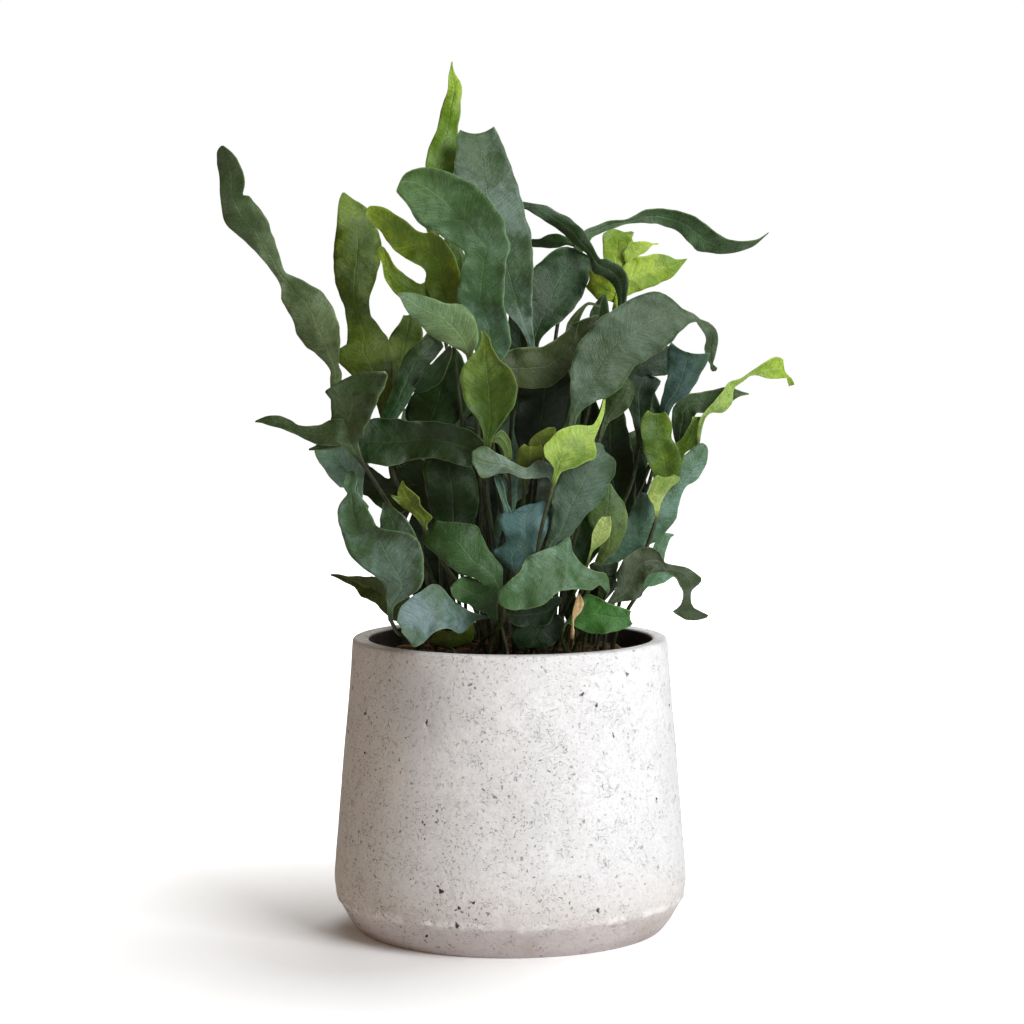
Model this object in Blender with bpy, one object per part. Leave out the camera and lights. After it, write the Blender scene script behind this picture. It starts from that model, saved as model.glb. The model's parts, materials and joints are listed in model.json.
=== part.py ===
"""Blue star fern in a concrete pot.

The pot is a turned shell, the potting mix fills it, and every frond is a solid of its own: a round stipe
that rises from a plain hole in the mix and is drawn out flat into a waved blade with its lobes. Units in
the tables are millimetres; the model is in metres, +Z up, with its origin at the centre of the pot's foot.
"""

import math
import random

import bmesh
import bpy
import numpy as np

# Driving dimensions, in millimetres
POT_HEIGHT = 144.0
POT_FOOT_RADIUS = 76.7
POT_BELLY_RADIUS = 87.5
POT_RIM_RADIUS = 77.9
POT_WALL = 7.8
POT_FLOOR = 12.0
POT_SIDES = 48
SOIL_CROWN = 141.0
SOIL_EDGE = 132.0
SOIL_SIDES = 24
GAP = 0.35
STIPE_RADIUS = 1.1
STIPE_HOLE = 1.75
STIPE_DEPTH = 12.0
BLADE_EDGE = 0.62
BLADE_MIDDLE = 0.95
RING_STEP = 10.0
LONGEST_STEP = 20.0
THINNED_BY = 1.4
EYE = np.array((0.86, -1363.25, 308.29))  # the outlines below are laid out as seen from here
SHELL_RADIUS = 120.0  # blades lie round the plant like the staves of a barrel
CLEARANCE = 2.6
CELL = 2.0

COLOURS = {
    "glaucous": (0.115, 0.185, 0.135),
    "bluish": (0.16, 0.235, 0.205),
    "green": (0.075, 0.15, 0.05),
    "olive": (0.115, 0.165, 0.035),
    "fresh": (0.25, 0.38, 0.07),
    "pale": (0.27, 0.36, 0.16),
    "dry": (0.45, 0.33, 0.17),
}

# One entry for each frond: colour, root on the mix (None: under the blade), then its blades. A blade is
# (depth at its base, depth at its tip, bow, [(left x, left z, right x, right z), ...]) from base to tip;
# depth runs away from the front. Every blade after the first is a lobe that grows out of the first one.
FRONDS = {
    "frond_long_left": ("glaucous", (-34, 14), [
        (6, -38, 4, [(-88.6, 266, -83.5, 267), (-88.8, 272, -82.8, 274), (-89, 276.5, -84.6, 279),
                      (-95, 283.5, -83.8, 287), (-101, 288, -83.8, 295), (-105, 293.5, -85, 301),
                      (-106.6, 300, -88.5, 308.5), (-110, 306, -93.5, 315), (-112.5, 311, -100, 318.8),
                      (-112.9, 317, -107, 322.2), (-116, 323, -111, 325), (-121, 329.5, -114, 334.5),
                      (-127, 336, -116.5, 342), (-133, 341.5, -119, 349), (-139.2, 347, -123, 355.5),
                      (-141.3, 354, -128.1, 361.1), (-142.2, 361, -130.9, 361.5),
                      (-142.4, 366, -130, 366), (-142.8, 373, -130.5, 372.5), (-143.7, 380, -134, 379.5),
                      (-143.2, 383.5, -138, 384), (-141.5, 385.6, -140.3, 385.7)])]),
    "frond_olive_left": ("olive", (-26, 12), [
        (0, 38, 3, [(-64, 252, -60.5, 252), (-66, 259, -59, 258.5), (-70, 266, -58, 270),
                    (-77.9, 273.5, -58, 281), (-84.3, 279.5, -59, 287), (-83.9, 286.5, -60.8, 292.1),
                    (-80.5, 288.5, -62.5, 294.5), (-80, 296, -66.5, 300), (-81.5, 306, -69.3, 304.5),
                    (-84, 312.5, -69, 310), (-86, 320.5, -66.8, 318.5), (-86.7, 328, -64.5, 326.3),
                    (-86.7, 334.5, -63.2, 334), (-86, 341, -64, 341.5), (-84.9, 349, -66.3, 347.5),
                    (-84.5, 356, -70.8, 355.8), (-83.6, 360, -76.5, 359.4), (-82.3, 362.8, -81.2, 362.9)]),
        (None, 30, 0, [(-64, 259, -60, 258), (-62, 266, -54, 265), (-60.5, 275, -50, 274),
                       (-60.3, 285, -45, 284), (-59.5, 292.5, -43, 292), (-55, 298, -44, 300),
                       (-52.5, 303, -47, 305)])]),
    "frond_hand": ("fresh", (-16, 6), [
        (-2, -4, 0, [(-31, 296, -26, 297), (-33, 302, -25, 304), (-37, 309, -24.5, 313),
                     (-41.5, 317, -25, 325), (-42, 325, -29, 335), (-48, 329, -37, 343),
                     (-53, 331.8, -42.5, 343), (-57.5, 335.5, -48, 346), (-61, 339.5, -53.5, 350.5),
                     (-64, 344.5, -58.6, 354.2), (-67.5, 347.5, -63.5, 355.9), (-70, 350.3, -68.3, 356.5),
                     (-71.2, 352.8, -70.8, 354.6)]),
        (None, -4, 0, [(-36, 308, -38, 322), (-44, 309, -44, 318.5), (-50, 309.5, -50, 321.5),
                       (-55, 312, -53.5, 324.5), (-59, 316.5, -57.5, 328), (-61.8, 322, -59.8, 333),
                       (-62.9, 328, -61.8, 335.9), (-64.2, 331, -63.4, 336.8),
                       (-65.5, 333.5, -65, 335.5)])]),
    "frond_bright_top": ("fresh", (-10, 26), [
        (38, 62, 0, [(-41, 344, -34, 343), (-43.5, 356, -31, 355), (-43.5, 366, -28.5, 365),
                     (-41.5, 377, -27.2, 377.5), (-40, 384, -25.7, 384), (-37.4, 390, -26, 390.5),
                     (-35.4, 395, -25.2, 396), (-34.6, 400.5, -24.5, 402), (-33.3, 405, -23.9, 407),
                     (-31.3, 410, -23.6, 412.5), (-30.3, 414.5, -24.5, 417), (-30.2, 419.5, -26.7, 420),
                     (-29.2, 423.5, -28, 423.8), (-28.9, 426.2, -28, 426.4)])]),
    "frond_tall_front": ("bluish", (-6, -12), [
        (-14, -40, 2, [(-15, 276, -8, 276), (-17, 283, -1.5, 284), (-19, 292, 0.1, 291),
                        (-22, 301, -1, 300), (-25.8, 310, -3, 307.5), (-25.2, 318, -3, 317),
                        (-23.5, 328, -2, 328), (-23, 334, -0.3, 337), (-30, 339, -2, 344),
                        (-37, 344, -3.3, 350), (-41.5, 345.5, -8, 356.5), (-46.3, 349.5, -15, 365),
                        (-49, 354.5, -24, 369.7), (-52, 359, -34, 374.3), (-54.8, 361.8, -44, 374.8),
                        (-55.8, 363.5, -51, 372.5), (-55, 366, -53.4, 369.5)])]),
    "frond_tall_back": ("bluish", (6, 16), [
        (10, 44, 0, [(9.5, 282, 12.5, 282), (8, 290, 12, 289.5), (4, 297.5, 11, 296), (-2, 304.5, 11, 306),
                    (-8, 314, 11, 318), (-14, 325, 11.1, 329), (-19, 338, 10.3, 341),
                    (-24, 352, 7.5, 352.5), (-27, 364, 5, 361.5), (-27.6, 372, 2.2, 371),
                    (-27, 379, -1, 379), (-26, 386, -3.5, 386.5), (-26.5, 389.5, -5.3, 390),
                    (-24.5, 393.4, -8.2, 395)])]),
    "frond_arc": ("glaucous", (22, 12), [
        (0, 58, 0, [(52.5, 297, 55.5, 297), (52.5, 303, 56.5, 303), (52.9, 309, 57.3, 312.5),
                    (51.5, 316, 58.2, 318.5), (47.5, 320.8, 56.5, 324.6), (43, 322.5, 52.5, 328),
                    (40.2, 324.5, 47, 330.4), (39.5, 329, 44.2, 330.3), (37.5, 333, 42, 333.8),
                    (34, 335.5, 40, 337.5), (30, 338.8, 37.5, 341.8), (24.5, 343.8, 34, 346.3),
                    (18, 348.4, 29.5, 350.3), (12.5, 351.8, 23.6, 353), (8, 354.5, 18, 356.3),
                    (4, 355.5, 10, 357.8), (0.5, 357.6, 1.5, 359)])]),
    "frond_long_right": ("glaucous", (20, 30), [
        (44, 78, 6, [(28, 326, 32, 326), (30, 334, 35, 333), (34, 341.3, 38, 337), (37, 344.7, 40, 340.6),
                     (43, 347, 45, 343.2), (49, 349.3, 50.5, 345.2), (56, 349.6, 56.5, 347.3),
                     (61, 351.7, 62.5, 348), (66.5, 354.5, 68, 347.9), (75, 355, 73.5, 347.2),
                     (83, 353.9, 79, 345.2), (90.3, 351, 84, 342.3), (95.5, 347.6, 87.9, 338.2),
                     (101, 343.4, 92, 334.5), (106, 340.5, 99, 333.2), (112, 339.2, 107.5, 333.1),
                     (118, 339.4, 115, 334.8), (122.2, 340.4, 120.3, 337.3), (126.8, 343.6, 126.6, 342.8)]),
        (None, 60, 0, [(33, 335.5, 33, 340.5), (27.5, 337.2, 27.8, 341.2), (24, 336, 24.3, 342.7),
                       (19, 335.6, 18.5, 342.4), (15, 336, 15, 340.5), (10, 336.3, 10, 340.1),
                       (3, 337, 3, 339.5)])]),
    "frond_bright_lobed": ("fresh", (27, 24), [
        (26, 44, 0, [(50, 306, 54, 304), (52, 314, 56.5, 310.5), (54, 323, 58, 312.8),
                     (57, 328.5, 62, 314.2), (61.5, 331, 67, 315.8), (67, 332.3, 72, 317.7),
                     (73, 332.9, 76.5, 320.1), (78, 331.8, 80.4, 322.4), (81.5, 330.2, 83.9, 326.6),
                     (86.9, 330.6, 86.5, 329.9)]),
        (None, 46, 0, [(47, 322, 57, 317), (45.7, 331, 58.5, 326), (45.3, 337.5, 60, 333),
                       (45.6, 343, 60.5, 338.6), (51.2, 345.2, 59.8, 341), (55, 343.5, 60.3, 342.4),
                       (59.4, 344, 60.8, 343.4)]),
        (None, 40, 0, [(55, 333, 58, 325), (58.5, 338.6, 62, 331.2), (61, 338.8, 65.5, 333.3),
                       (66, 339.1, 68, 335.4), (69.5, 338.2, 69.8, 337.1), (72.6, 338.2, 72.5, 337.4)]),
        (None, 30, 0, [(55, 306.5, 56, 313), (49.5, 309.5, 52, 317), (44, 310, 48.5, 321),
                       (39.5, 314, 43, 324), (36.9, 317, 38.5, 325)])]),
    "frond_oval_dark": ("green", (12, 22), [
        (16, 34, 0, [(11, 283, 14, 283), (9.5, 290, 14.5, 290), (9, 298, 19, 295.8), (8.5, 307, 26, 300.5),
                     (9, 317, 31.5, 306.3), (11.5, 325.8, 35, 312), (15.5, 329.3, 37.5, 318),
                     (20.5, 334, 39, 322.5), (28, 336.6, 40.5, 325.5), (35, 333.9, 42, 327.5),
                     (42.2, 329.8, 43.2, 328)])]),
    "frond_big_right": ("bluish", (16, -26), [
        (-42, -4, -8, [(27.5, 240, 30, 240), (28.5, 247, 31.5, 247), (29.8, 256, 34, 254.5),
                       (29.7, 265, 41, 260), (29.8, 274, 48.5, 262.8), (30.8, 282, 53.5, 266.5),
                       (34, 289.5, 57.5, 272.3), (38.5, 294.8, 61, 277.5), (43.5, 301.5, 66, 280.5),
                       (50.5, 305.3, 72, 283.4), (57.5, 309.7, 76.5, 287.2), (65, 313.3, 80, 290.5),
                       (73, 314.4, 83.5, 294.5), (79.5, 310.8, 86, 297.2), (84.5, 306.2, 88.5, 299),
                       (90, 303.8, 91.4, 299.6), (93.4, 301, 92, 298.4), (97.5, 299.5, 93.6, 296.6),
                       (101.2, 296, 95.6, 293.6), (102.3, 291, 96.2, 290.3), (101.6, 285.5, 95.4, 286.2),
                       (100.3, 281, 97, 281), (99.9, 278.8, 98.4, 278.6), (102, 277, 98.5, 276.6),
                       (101.2, 275.4, 99.4, 275.2)])]),
    "frond_olive_right": ("olive", (2, -6), [
        (-16, 0, 0, [(-7, 270, -6, 266), (-6, 283, -3, 271), (0, 286, 4, 267.8), (9, 287.2, 12, 266.8),
                     (16, 287.7, 20, 268), (21.5, 290.5, 25.5, 272.5), (27, 294.5, 31, 279),
                     (31, 298.8, 35, 286), (34.7, 300.6, 38, 292), (38.5, 301.9, 41, 297.5),
                     (42.7, 303.4, 43.5, 302.4)]),
        (None, -2, 0, [(25, 289, 31, 287), (27.3, 295.5, 33, 295), (28, 299, 33.8, 299.5),
                       (31.2, 303.5, 35, 302.5), (34.7, 307, 36.5, 305.5), (38.2, 309.3, 38.4, 307.8),
                       (41.7, 308.7, 41.5, 307.4), (44.6, 307.6, 44.3, 306.8)])]),
    "frond_pointed_front": ("olive", (-4, -30), [
        (-46, -44, -4, [(-12.8, 236, -9.8, 236), (-13.5, 244, -8, 243.6), (-16, 251.5, -3, 251.5),
                        (-21, 258, 1.5, 257.5), (-23.5, 264.5, 3.5, 264), (-24.9, 271, 3, 270.5),
                        (-23.5, 277, 0, 276.5), (-19.5, 282.3, -5.3, 281), (-15.7, 286.8, -8.8, 287),
                        (-14.2, 291, -10.2, 291.5), (-14.4, 295.6, -13.6, 295.8)]),
        (None, -42, 0, [(-11, 240, -8, 243), (-7, 240, -4.5, 246.5), (-4, 237, -1, 243.5),
                        (-3, 233, 0.6, 238), (-1.5, 230, 1, 232)])]),
    "frond_curled": ("bluish", (-14, -16), [
        (-34, -46, 0, [(-20.5, 276, -18, 276), (-22, 283.5, -18.5, 284.5), (-27, 286.7, -16.3, 288.5),
                       (-33.5, 290, -16.2, 297), (-39, 293, -18.5, 302.8), (-42.5, 295.8, -23.8, 308),
                       (-46, 299.8, -32, 308.8), (-49, 302.5, -40, 311.5), (-52, 307, -46.5, 313.3),
                       (-54, 311, -52, 314.1), (-55.8, 312.8, -55.3, 313.7)])]),
    "frond_star": ("glaucous", (-36, -14), [
        (-30, -32, -4, [(-76, 232, -73, 233), (-82, 237.6, -75, 240.6), (-88, 243, -73, 242.5),
                        (-88.5, 249.5, -72, 247), (-88, 255, -69, 252), (-88.8, 261.5, -66.5, 258),
                        (-91.3, 265.1, -64.5, 263), (-87, 268.3, -62.5, 267), (-81, 271.9, -61, 271),
                        (-74, 274.8, -60.5, 274), (-68, 275.4, -62, 275.3)]),
        (None, -22, 0, [(-79, 239, -79, 251), (-87, 238.5, -87.5, 252), (-94.5, 239, -93, 249.2),
                        (-99.6, 240.9, -98.5, 248.6), (-105, 243.7, -104.5, 248.8),
                        (-110, 246, -108, 251.2), (-115, 247.5, -113.5, 253.4),
                        (-120, 249, -118.5, 253.7), (-123, 249.9, -122.3, 252.5),
                        (-126, 250.2, -125.6, 251)]),
        (None, -28, 0, [(-80, 239, -80, 242.5), (-86, 237.3, -86, 241), (-93, 236.4, -93, 239.8), (-99.4, 236.3, -99.4, 237.2)])]),
    "frond_pale_left": ("bluish", (-44, -4), [
        (-8, -12, 0, [(-77, 205, -73.5, 205), (-77, 212, -73, 212), (-79.5, 217.5, -72.5, 223),
                      (-84, 218.2, -71, 229.5), (-89, 223.2, -75.5, 234), (-93, 228.3, -79, 238.5),
                      (-96, 233.8, -84, 241), (-96.5, 237, -90, 242), (-95.5, 240, -93.5, 241.5)])]),
    "frond_dark_bar": ("green", (-14, -26), [
        (-38, -24, 0, [(-12, 231, -10.8, 236), (-15, 231, -12, 239.8), (-20, 228, -17, 244.3),
                       (-26, 229.5, -24, 247.8), (-33, 231.6, -32, 250), (-41, 232.4, -40, 251),
                       (-49, 231.6, -49, 250.5), (-56, 229.2, -56, 252), (-63, 228.6, -63, 252),
                       (-69, 229.8, -69, 252), (-73.5, 229.6, -73, 248), (-76.5, 234.5, -76, 243),
                       (-78.2, 237.8, -77.5, 240)])]),
    "frond_folded_left": ("green", (-22, -2), [
        (-14, 4, 0, [(-62.5, 246, -59, 246), (-64, 252.3, -55.5, 252), (-60.5, 260.5, -50.5, 260),
                       (-58, 267, -47.5, 265.5), (-55.5, 274, -44.5, 270.5), (-52.5, 282, -41, 277),
                       (-48, 287.5, -36, 283.5), (-43.5, 291.2, -33, 287.5), (-40.5, 295, -35, 291.5)]),
        (None, -18, 0, [(-51, 268, -47.5, 265), (-47.7, 268, -43, 265), (-45, 271.5, -38.5, 266.8),
                        (-42.5, 275.5, -34, 270.3), (-38.5, 279.3, -31, 276.5),
                        (-34.5, 283.4, -29.3, 281.5), (-31.5, 286.3, -28.5, 285.3),
                        (-30.1, 288, -29.2, 287.9)])]),
    "frond_dark_middle": ("green", (-10, -6), [
        (-6, 8, 0, [(-40, 240, -36, 240), (-44, 246, -32, 244), (-51, 251, -27, 250),
                     (-51.5, 256, -22, 256), (-49, 262, -20, 264), (-45, 268, -21, 271),
                     (-38, 275, -22, 277), (-31, 282, -24, 283), (-28.6, 287, -27.2, 287)])]),
    "frond_dark_inner": ("green", (6, 2), [
        (-4, -2, 0, [(11, 226, 15, 226), (4, 238, 22, 240), (2, 247, 27, 249), (3, 257, 29.5, 258),
                    (4, 267, 30, 268), (8, 276, 28, 277), (14, 284, 22, 284.5)])]),
    "frond_blue_upright": ("bluish", (42, 8), [
        (6, -22, 0, [(72.5, 244, 75.5, 244), (73.5, 252, 77.5, 251.5), (73.8, 258.5, 80.5, 259),
                       (75.5, 265, 87, 263.2), (77, 272, 91.5, 269.5), (77.4, 279, 95, 276.5),
                       (77.4, 286, 97.5, 281.5), (79.4, 289.7, 98, 284.6)])]),
    "frond_dark_right": ("green", (36, 8), [
        (-2, 2, 0, [(62, 244, 66, 244), (60, 252, 68, 251), (57, 261, 69.7, 259.5),
                    (55.5, 268, 71.5, 265.5), (57, 273, 74.4, 270.5), (59, 277, 69, 273.5),
                    (61, 279, 65, 276)]),
        (None, 6, 0, [(57, 276, 62, 271), (60, 281, 67, 273.4), (65, 285, 71, 273),
                      (71, 287.5, 76, 273.2), (77, 288, 79.5, 274.5), (81, 286, 82, 277)])]),
    "frond_pale_twist": ("pale", (50, -8), [
        (-14, 22, 0, [(91.5, 240, 93.5, 239.5), (93, 250.5, 95.3, 249.8), (96, 255.6, 98.5, 254.7),
                     (100, 259.8, 104.5, 254.9), (103.8, 264.5, 109, 258.8), (106.5, 268.7, 109.9, 264.5),
                     (109, 270.6, 110.8, 267.6), (113.5, 271.9, 114.7, 270.4), (118, 275, 118.8, 273.2),
                     (122, 277.5, 122.5, 273), (126.8, 280.9, 127, 272), (131, 282.7, 131, 271.3),
                     (134.3, 281, 134.8, 271.7), (134.4, 276.2, 136.3, 272), (138.6, 271.8, 136.7, 269.6),
                     (140, 268.8, 137.2, 267.9)])]),
    "frond_right_tongue": ("green", (42, 10), [
        (3, 2, 0, [(82, 238, 85, 237.5), (80, 246, 88, 244), (79.5, 252, 90.5, 249.5),
                     (80.5, 257.5, 91, 253.2), (84, 261.8, 91.6, 254.4), (89, 264.4, 93, 254.8),
                     (94, 265.3, 96.5, 255),
                     (100, 266.1, 101.5, 256.5), (106, 267.5, 107, 258.8), (110.8, 266.7, 111.2, 262),
                     (114, 265.4, 114.4, 263.3), (117.6, 264.6, 117.6, 263.8)])]),
    "frond_fork": ("olive", (46, -13), [
        (-4, -12, -3, [(73, 212, 77, 212), (71.5, 219, 81, 219), (69.8, 226, 83.8, 226),
                        (67.5, 232, 84.3, 231.5), (65.5, 237.5, 83, 237.5), (64.8, 243, 79.8, 242),
                        (64.2, 248.5, 79.5, 248), (65, 252.5, 78.3, 252.8), (68, 256.2, 76, 255.6)]),
        (None, -10, 0, [(75, 230, 84.3, 228), (79, 238, 86.5, 234.8), (83.9, 241.6, 90.4, 237.6),
                        (86.4, 245.6, 93.2, 242), (88.8, 249.5, 94.2, 248.5), (90, 253, 94.5, 253)])]),
    "frond_pale_cup": ("pale", (42, -24), [
        (-38, -34, 0, [(71.6, 203, 73.6, 203), (71, 208.5, 74.2, 209), (69, 211.5, 76, 213.5),
                       (67.9, 215, 79.5, 218.3), (69.5, 219, 83.5, 221.5), (70.3, 221.7, 83.6, 223),
                       (73, 224.2, 81, 224.6)])]),
    "frond_broad_right": ("bluish", (32, -18), [
        (-28, -12, 0, [(39, 177, 41, 174), (44, 183, 46, 179.3), (50, 190, 53, 180.8), (54.5, 197, 60, 185),
                       (58.5, 204, 67, 188.6), (62.5, 211.5, 73, 192), (65.5, 215.5, 78.5, 198),
                       (69, 214, 82, 203), (74, 213, 83.2, 208), (79, 217.5, 84, 213),
                       (82.5, 223.5, 87, 218.3), (84.3, 229, 91.5, 221.3), (86, 233.7, 95, 226),
                       (90, 237.3, 97.3, 232), (93, 239.7, 97.7, 236.2), (95, 240, 96.6, 239)])]),
    "frond_low_right_back": ("bluish", (50, -21), [
        (-24, -16, 0, [(62, 166, 65, 165), (66, 174, 71, 172), (69, 182, 75.5, 180), (70.5, 188, 76.8, 186.5),
                      (72.5, 192, 78.3, 190.5), (75.7, 195.5, 79.5, 193.2), (80.6, 195, 81.1, 194.2)]),
        (None, -12, 0, [(64, 177, 65.5, 168.8), (70, 178.5, 72, 169.2), (75, 177.8, 76.5, 170.9),
                        (79, 175.7, 79.8, 173.2), (81.5, 174.8, 81.6, 173.9)])]),
    "frond_hook": ("glaucous", (30, -36), [
        (-50, -36, -6, [(46, 157, 48, 155), (49.5, 163.5, 52, 160.5), (52.5, 168.5, 58.5, 161.9),
                        (53.2, 175, 64.5, 163.5), (56.5, 182, 66, 168), (61.5, 186.8, 67.5, 173),
                        (68.5, 188.5, 72, 175.7), (73.8, 186, 75.5, 176.3), (76.5, 180.8, 78, 175.6),
                        (81.5, 179.5, 80.8, 174), (88.4, 177.8, 83, 171.5), (94.6, 173.3, 84.8, 168),
                        (93.5, 170.1, 85.4, 165), (90, 167.3, 85.4, 162.5), (89.4, 163, 84.5, 159.8),
                        (91, 158.2, 82.5, 157.8), (98.3, 154.6, 80.8, 156.4), (95, 152.6, 83.5, 154.1),
                        (91.5, 151.9, 87, 152.2)])]),
    "frond_olive_blade": ("olive", (29, -30), [
        (-42, -38, 0, [(41, 175, 43.5, 174.5), (42, 182, 46.5, 181), (44, 187, 52.5, 187.2),
                       (43, 193, 56, 193.5), (40, 199, 57.7, 199), (38, 203.5, 58, 204.5),
                       (40.5, 208.5, 56.5, 209.3), (44, 213.5, 53.5, 213.8), (47, 217.5, 51, 217.5),
                       (48.6, 220, 49.8, 220)])]),
    "frond_pale_small": ("pale", (22, -32), [
        (-50, -50, 0, [(37.5, 180, 39, 180), (39.3, 186, 40.7, 186), (40, 190, 45, 189.8),
                       (40.5, 195, 49.2, 194.5), (43.2, 200.8, 50, 200.5), (45.4, 203.4, 49.6, 203.6)])]),
    "frond_blue_centre": ("bluish", (12, -32), [
        (-52, -44, -3, [(17, 182, 19.5, 182), (17, 189, 23, 190.3), (19.5, 196, 29, 193.6),
                        (20.8, 203, 33, 198.3), (20.8, 210, 37.5, 204.2), (20.7, 215.8, 42.5, 208.6),
                        (23, 221, 45.8, 213.3), (25.5, 227, 48.5, 219.8), (29, 232.5, 51.5, 224.5),
                        (34, 237, 52.2, 229.5), (39, 240, 50.5, 233), (42, 240.2, 47, 235.5),
                        (45, 239.6, 46, 238.6)])]),
    "frond_bright_centre": ("fresh", (10, -42), [
        (-60, -30, -4, [(20, 220, 22.5, 219.4), (21.5, 227.5, 25.5, 225.8), (17.3, 233, 31, 227.7),
                        (16.6, 238, 37, 230.6), (20, 241.8, 42, 232.6), (25.5, 247.2, 42.6, 236.5),
                        (33, 248.9, 41.5, 241), (40, 248.6, 43.2, 246.3), (43, 252.3, 45, 250.5),
                        (45, 257.5, 46.4, 255.8), (46, 262.2, 47, 261.6)])]),
    "frond_olive_behind": ("olive", (24, -8), [
        (-24, -20, 0, [(43, 243, 45.5, 242.5), (45, 252, 48.5, 250), (46, 258, 52, 252.5),
                       (48, 264, 57, 256), (52, 269, 60, 260.5), (55, 272, 61, 266),
                       (58.5, 271.8, 60.4, 269.8)])]),
    "frond_yellow_small": ("fresh", (4, -26), [
        (-42, -44, 0, [(6, 218, 8.5, 218), (5, 224, 11, 224), (3, 230, 15, 229), (3.5, 236, 17, 235),
                       (7, 239.6, 15, 239.6)]),
        (None, -48, 0, [(10, 236, 16.5, 237), (9, 240, 19, 239.5), (11, 243, 22, 243.5),
                        (15, 246, 22.5, 246.5), (19, 247.8, 22, 247.6)])]),
    "frond_grey_centre": ("bluish", (8, -36), [
        (-46, -58, 0, [(19.6, 206, 21.6, 206), (20, 214, 21.8, 214), (20.2, 219.5, 22.8, 219.5),
                       (18.8, 222.9, 24.3, 224), (15, 222.8, 19.5, 229.6), (11, 222.3, 13.5, 231.6),
                       (8, 222.3, 9.5, 228.3), (4.5, 222.9, 6.5, 227.9), (0, 225, 1.5, 230.4),
                       (-4, 225.2, -2.5, 232.8), (-9, 223.8, -7, 235.4), (-14, 222.4, -12.5, 238.1),
                       (-17, 227, -16.5, 237.6), (-18.9, 230.6, -18.9, 235.6)])]),
    "frond_blue_lobed": ("bluish", (0, -40), [
        (-54, -50, -3, [(1, 176, 4, 176), (-6, 183, 8, 182), (-9.3, 186.5, 12.5, 185),
                        (-4.5, 188.9, 15, 189), (-2, 192, 16.8, 193), (-3.5, 197, 18.5, 197.5),
                        (-6, 201.5, 20.3, 201.5), (-5, 205, 20.8, 204.8), (0.5, 205.5, 20.3, 207.8),
                        (4.5, 208, 18, 210.3), (10, 210, 15.5, 211.5)]),
        (None, -50, 0, [(-2, 202, 2, 203), (-3.5, 208.5, -0.5, 208.7), (-5, 213, -2, 213.2),
                        (-6.3, 217, -2.6, 217.5), (-7.7, 221, -3.8, 221), (-8, 224, -4.5, 224)])]),
    "frond_front_centre": ("glaucous", (20, -44), [
        (-60, -78, -8, [(47.5, 166, 49.5, 168), (44.5, 169.5, 47.6, 175.1), (40.3, 167, 42, 176.3),
                        (34, 167.6, 36, 179.5), (30, 167.5, 30.8, 186.5), (27, 167, 29.5, 193.5),
                        (23.5, 165.8, 23.5, 189.8), (20, 163.2, 17, 186.8), (16.5, 160, 11, 184.7),
                        (11, 158.2, 7, 181.6), (6, 157.3, 4.5, 175.5), (1, 157, -0.5, 172),
                        (-3, 158.5, -4, 168.8), (-6, 160.6, -6.6, 165.3)])]),
    "frond_low_right": ("green", (28, -52), [
        (-60, -62, -2, [(26, 149, 27, 147.6), (28, 151.8, 28.5, 150.3), (31, 156, 33, 148.4),
                        (34.5, 162, 38.5, 146.2), (39, 165, 44, 145.4), (44.5, 162.7, 49.5, 145.8),
                        (50.5, 160, 54.5, 147.1), (56, 158.2, 58.5, 148.7), (60, 156.5, 60.8, 150.4)])]),
    "frond_dry": ("dry", (30, -34), [
        (-64, -66, 0, [(30.4, 148, 31.6, 148), (30.6, 153, 31.8, 152.4), (30.8, 156.5, 34.8, 156),
                       (31.8, 160, 36.3, 160), (32.8, 163.5, 35.7, 162.8), (33.6, 165.5, 34.6, 165.3)])]),
    "frond_low_dark": ("green", (-1, -51), [
        (-53, -50, 0, [(-2.4, 158, -2.2, 152), (2, 160, 4, 148.8), (9, 161, 10, 149.2),
                       (15, 162, 16, 149), (20, 163, 20, 151), (24, 164, 22, 156), (25.5, 163, 24.8, 160.5)]),
        (None, -52, 0, [(24, 155, 5, 154), (27.4, 149.6, 1, 148), (25, 144, 0, 143.5), (21, 139.5, 1, 140),
                        (12, 137, 5, 137)])]),
    "frond_tufts_right": ("olive", (34, -30), [
        (-44, -46, 0, [(43, 160, 45, 159.5), (43.5, 165, 49, 164), (45, 170, 52.5, 169),
                       (46, 174.5, 52, 174)]),
        (None, -46, 0, [(44, 170, 50, 169), (41, 175, 52.5, 174.5), (39, 179.5, 53.5, 178.5),
                        (42, 181.3, 53.5, 181.5)])]),
    "frond_front_left": ("bluish", (-5, -42), [
        (-42, -80, -6, [(-6, 150, -4.4, 150), (-8.2, 152.6, -6.4, 153.9), (-11, 152.9, -10, 154.2),
                        (-16, 152.2, -14, 154.6), (-19, 150.5, -18, 155.7), (-21.7, 147.2, -22, 157.7),
                        (-25, 145.5, -27, 161), (-29.5, 147.4, -31, 165), (-34, 147.6, -34.5, 169.2),
                        (-38.5, 145.5, -38.5, 169.9), (-41.5, 142.5, -44, 166.5), (-44, 140.3, -49.5, 163),
                        (-48, 138.9, -53.5, 159.4), (-51, 142.5, -55.5, 155), (-54, 146, -56.3, 151)])]),
    "frond_sword_left": ("olive", (-36, -26), [
        (-50, -32, -4, [(-50, 146, -46, 150), (-54, 150, -48, 158), (-58.5, 152.3, -50, 163.5),
                        (-63, 156.3, -55, 166), (-67, 160.8, -60, 170), (-71, 162.5, -66, 173.5),
                        (-74, 163.8, -71, 173.8), (-77.2, 168.6, -76, 174), (-81.5, 170.7, -80.5, 173.9),
                        (-85.5, 173, -85, 175), (-89, 174.3, -88.8, 175.1)])]),
    "frond_broad_left": ("bluish", (-44, -38), [
        (-62, -22, -10, [(-60.5, 152, -58, 152), (-61, 158, -57.5, 159), (-61.6, 163.5, -51, 163.5),
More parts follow.
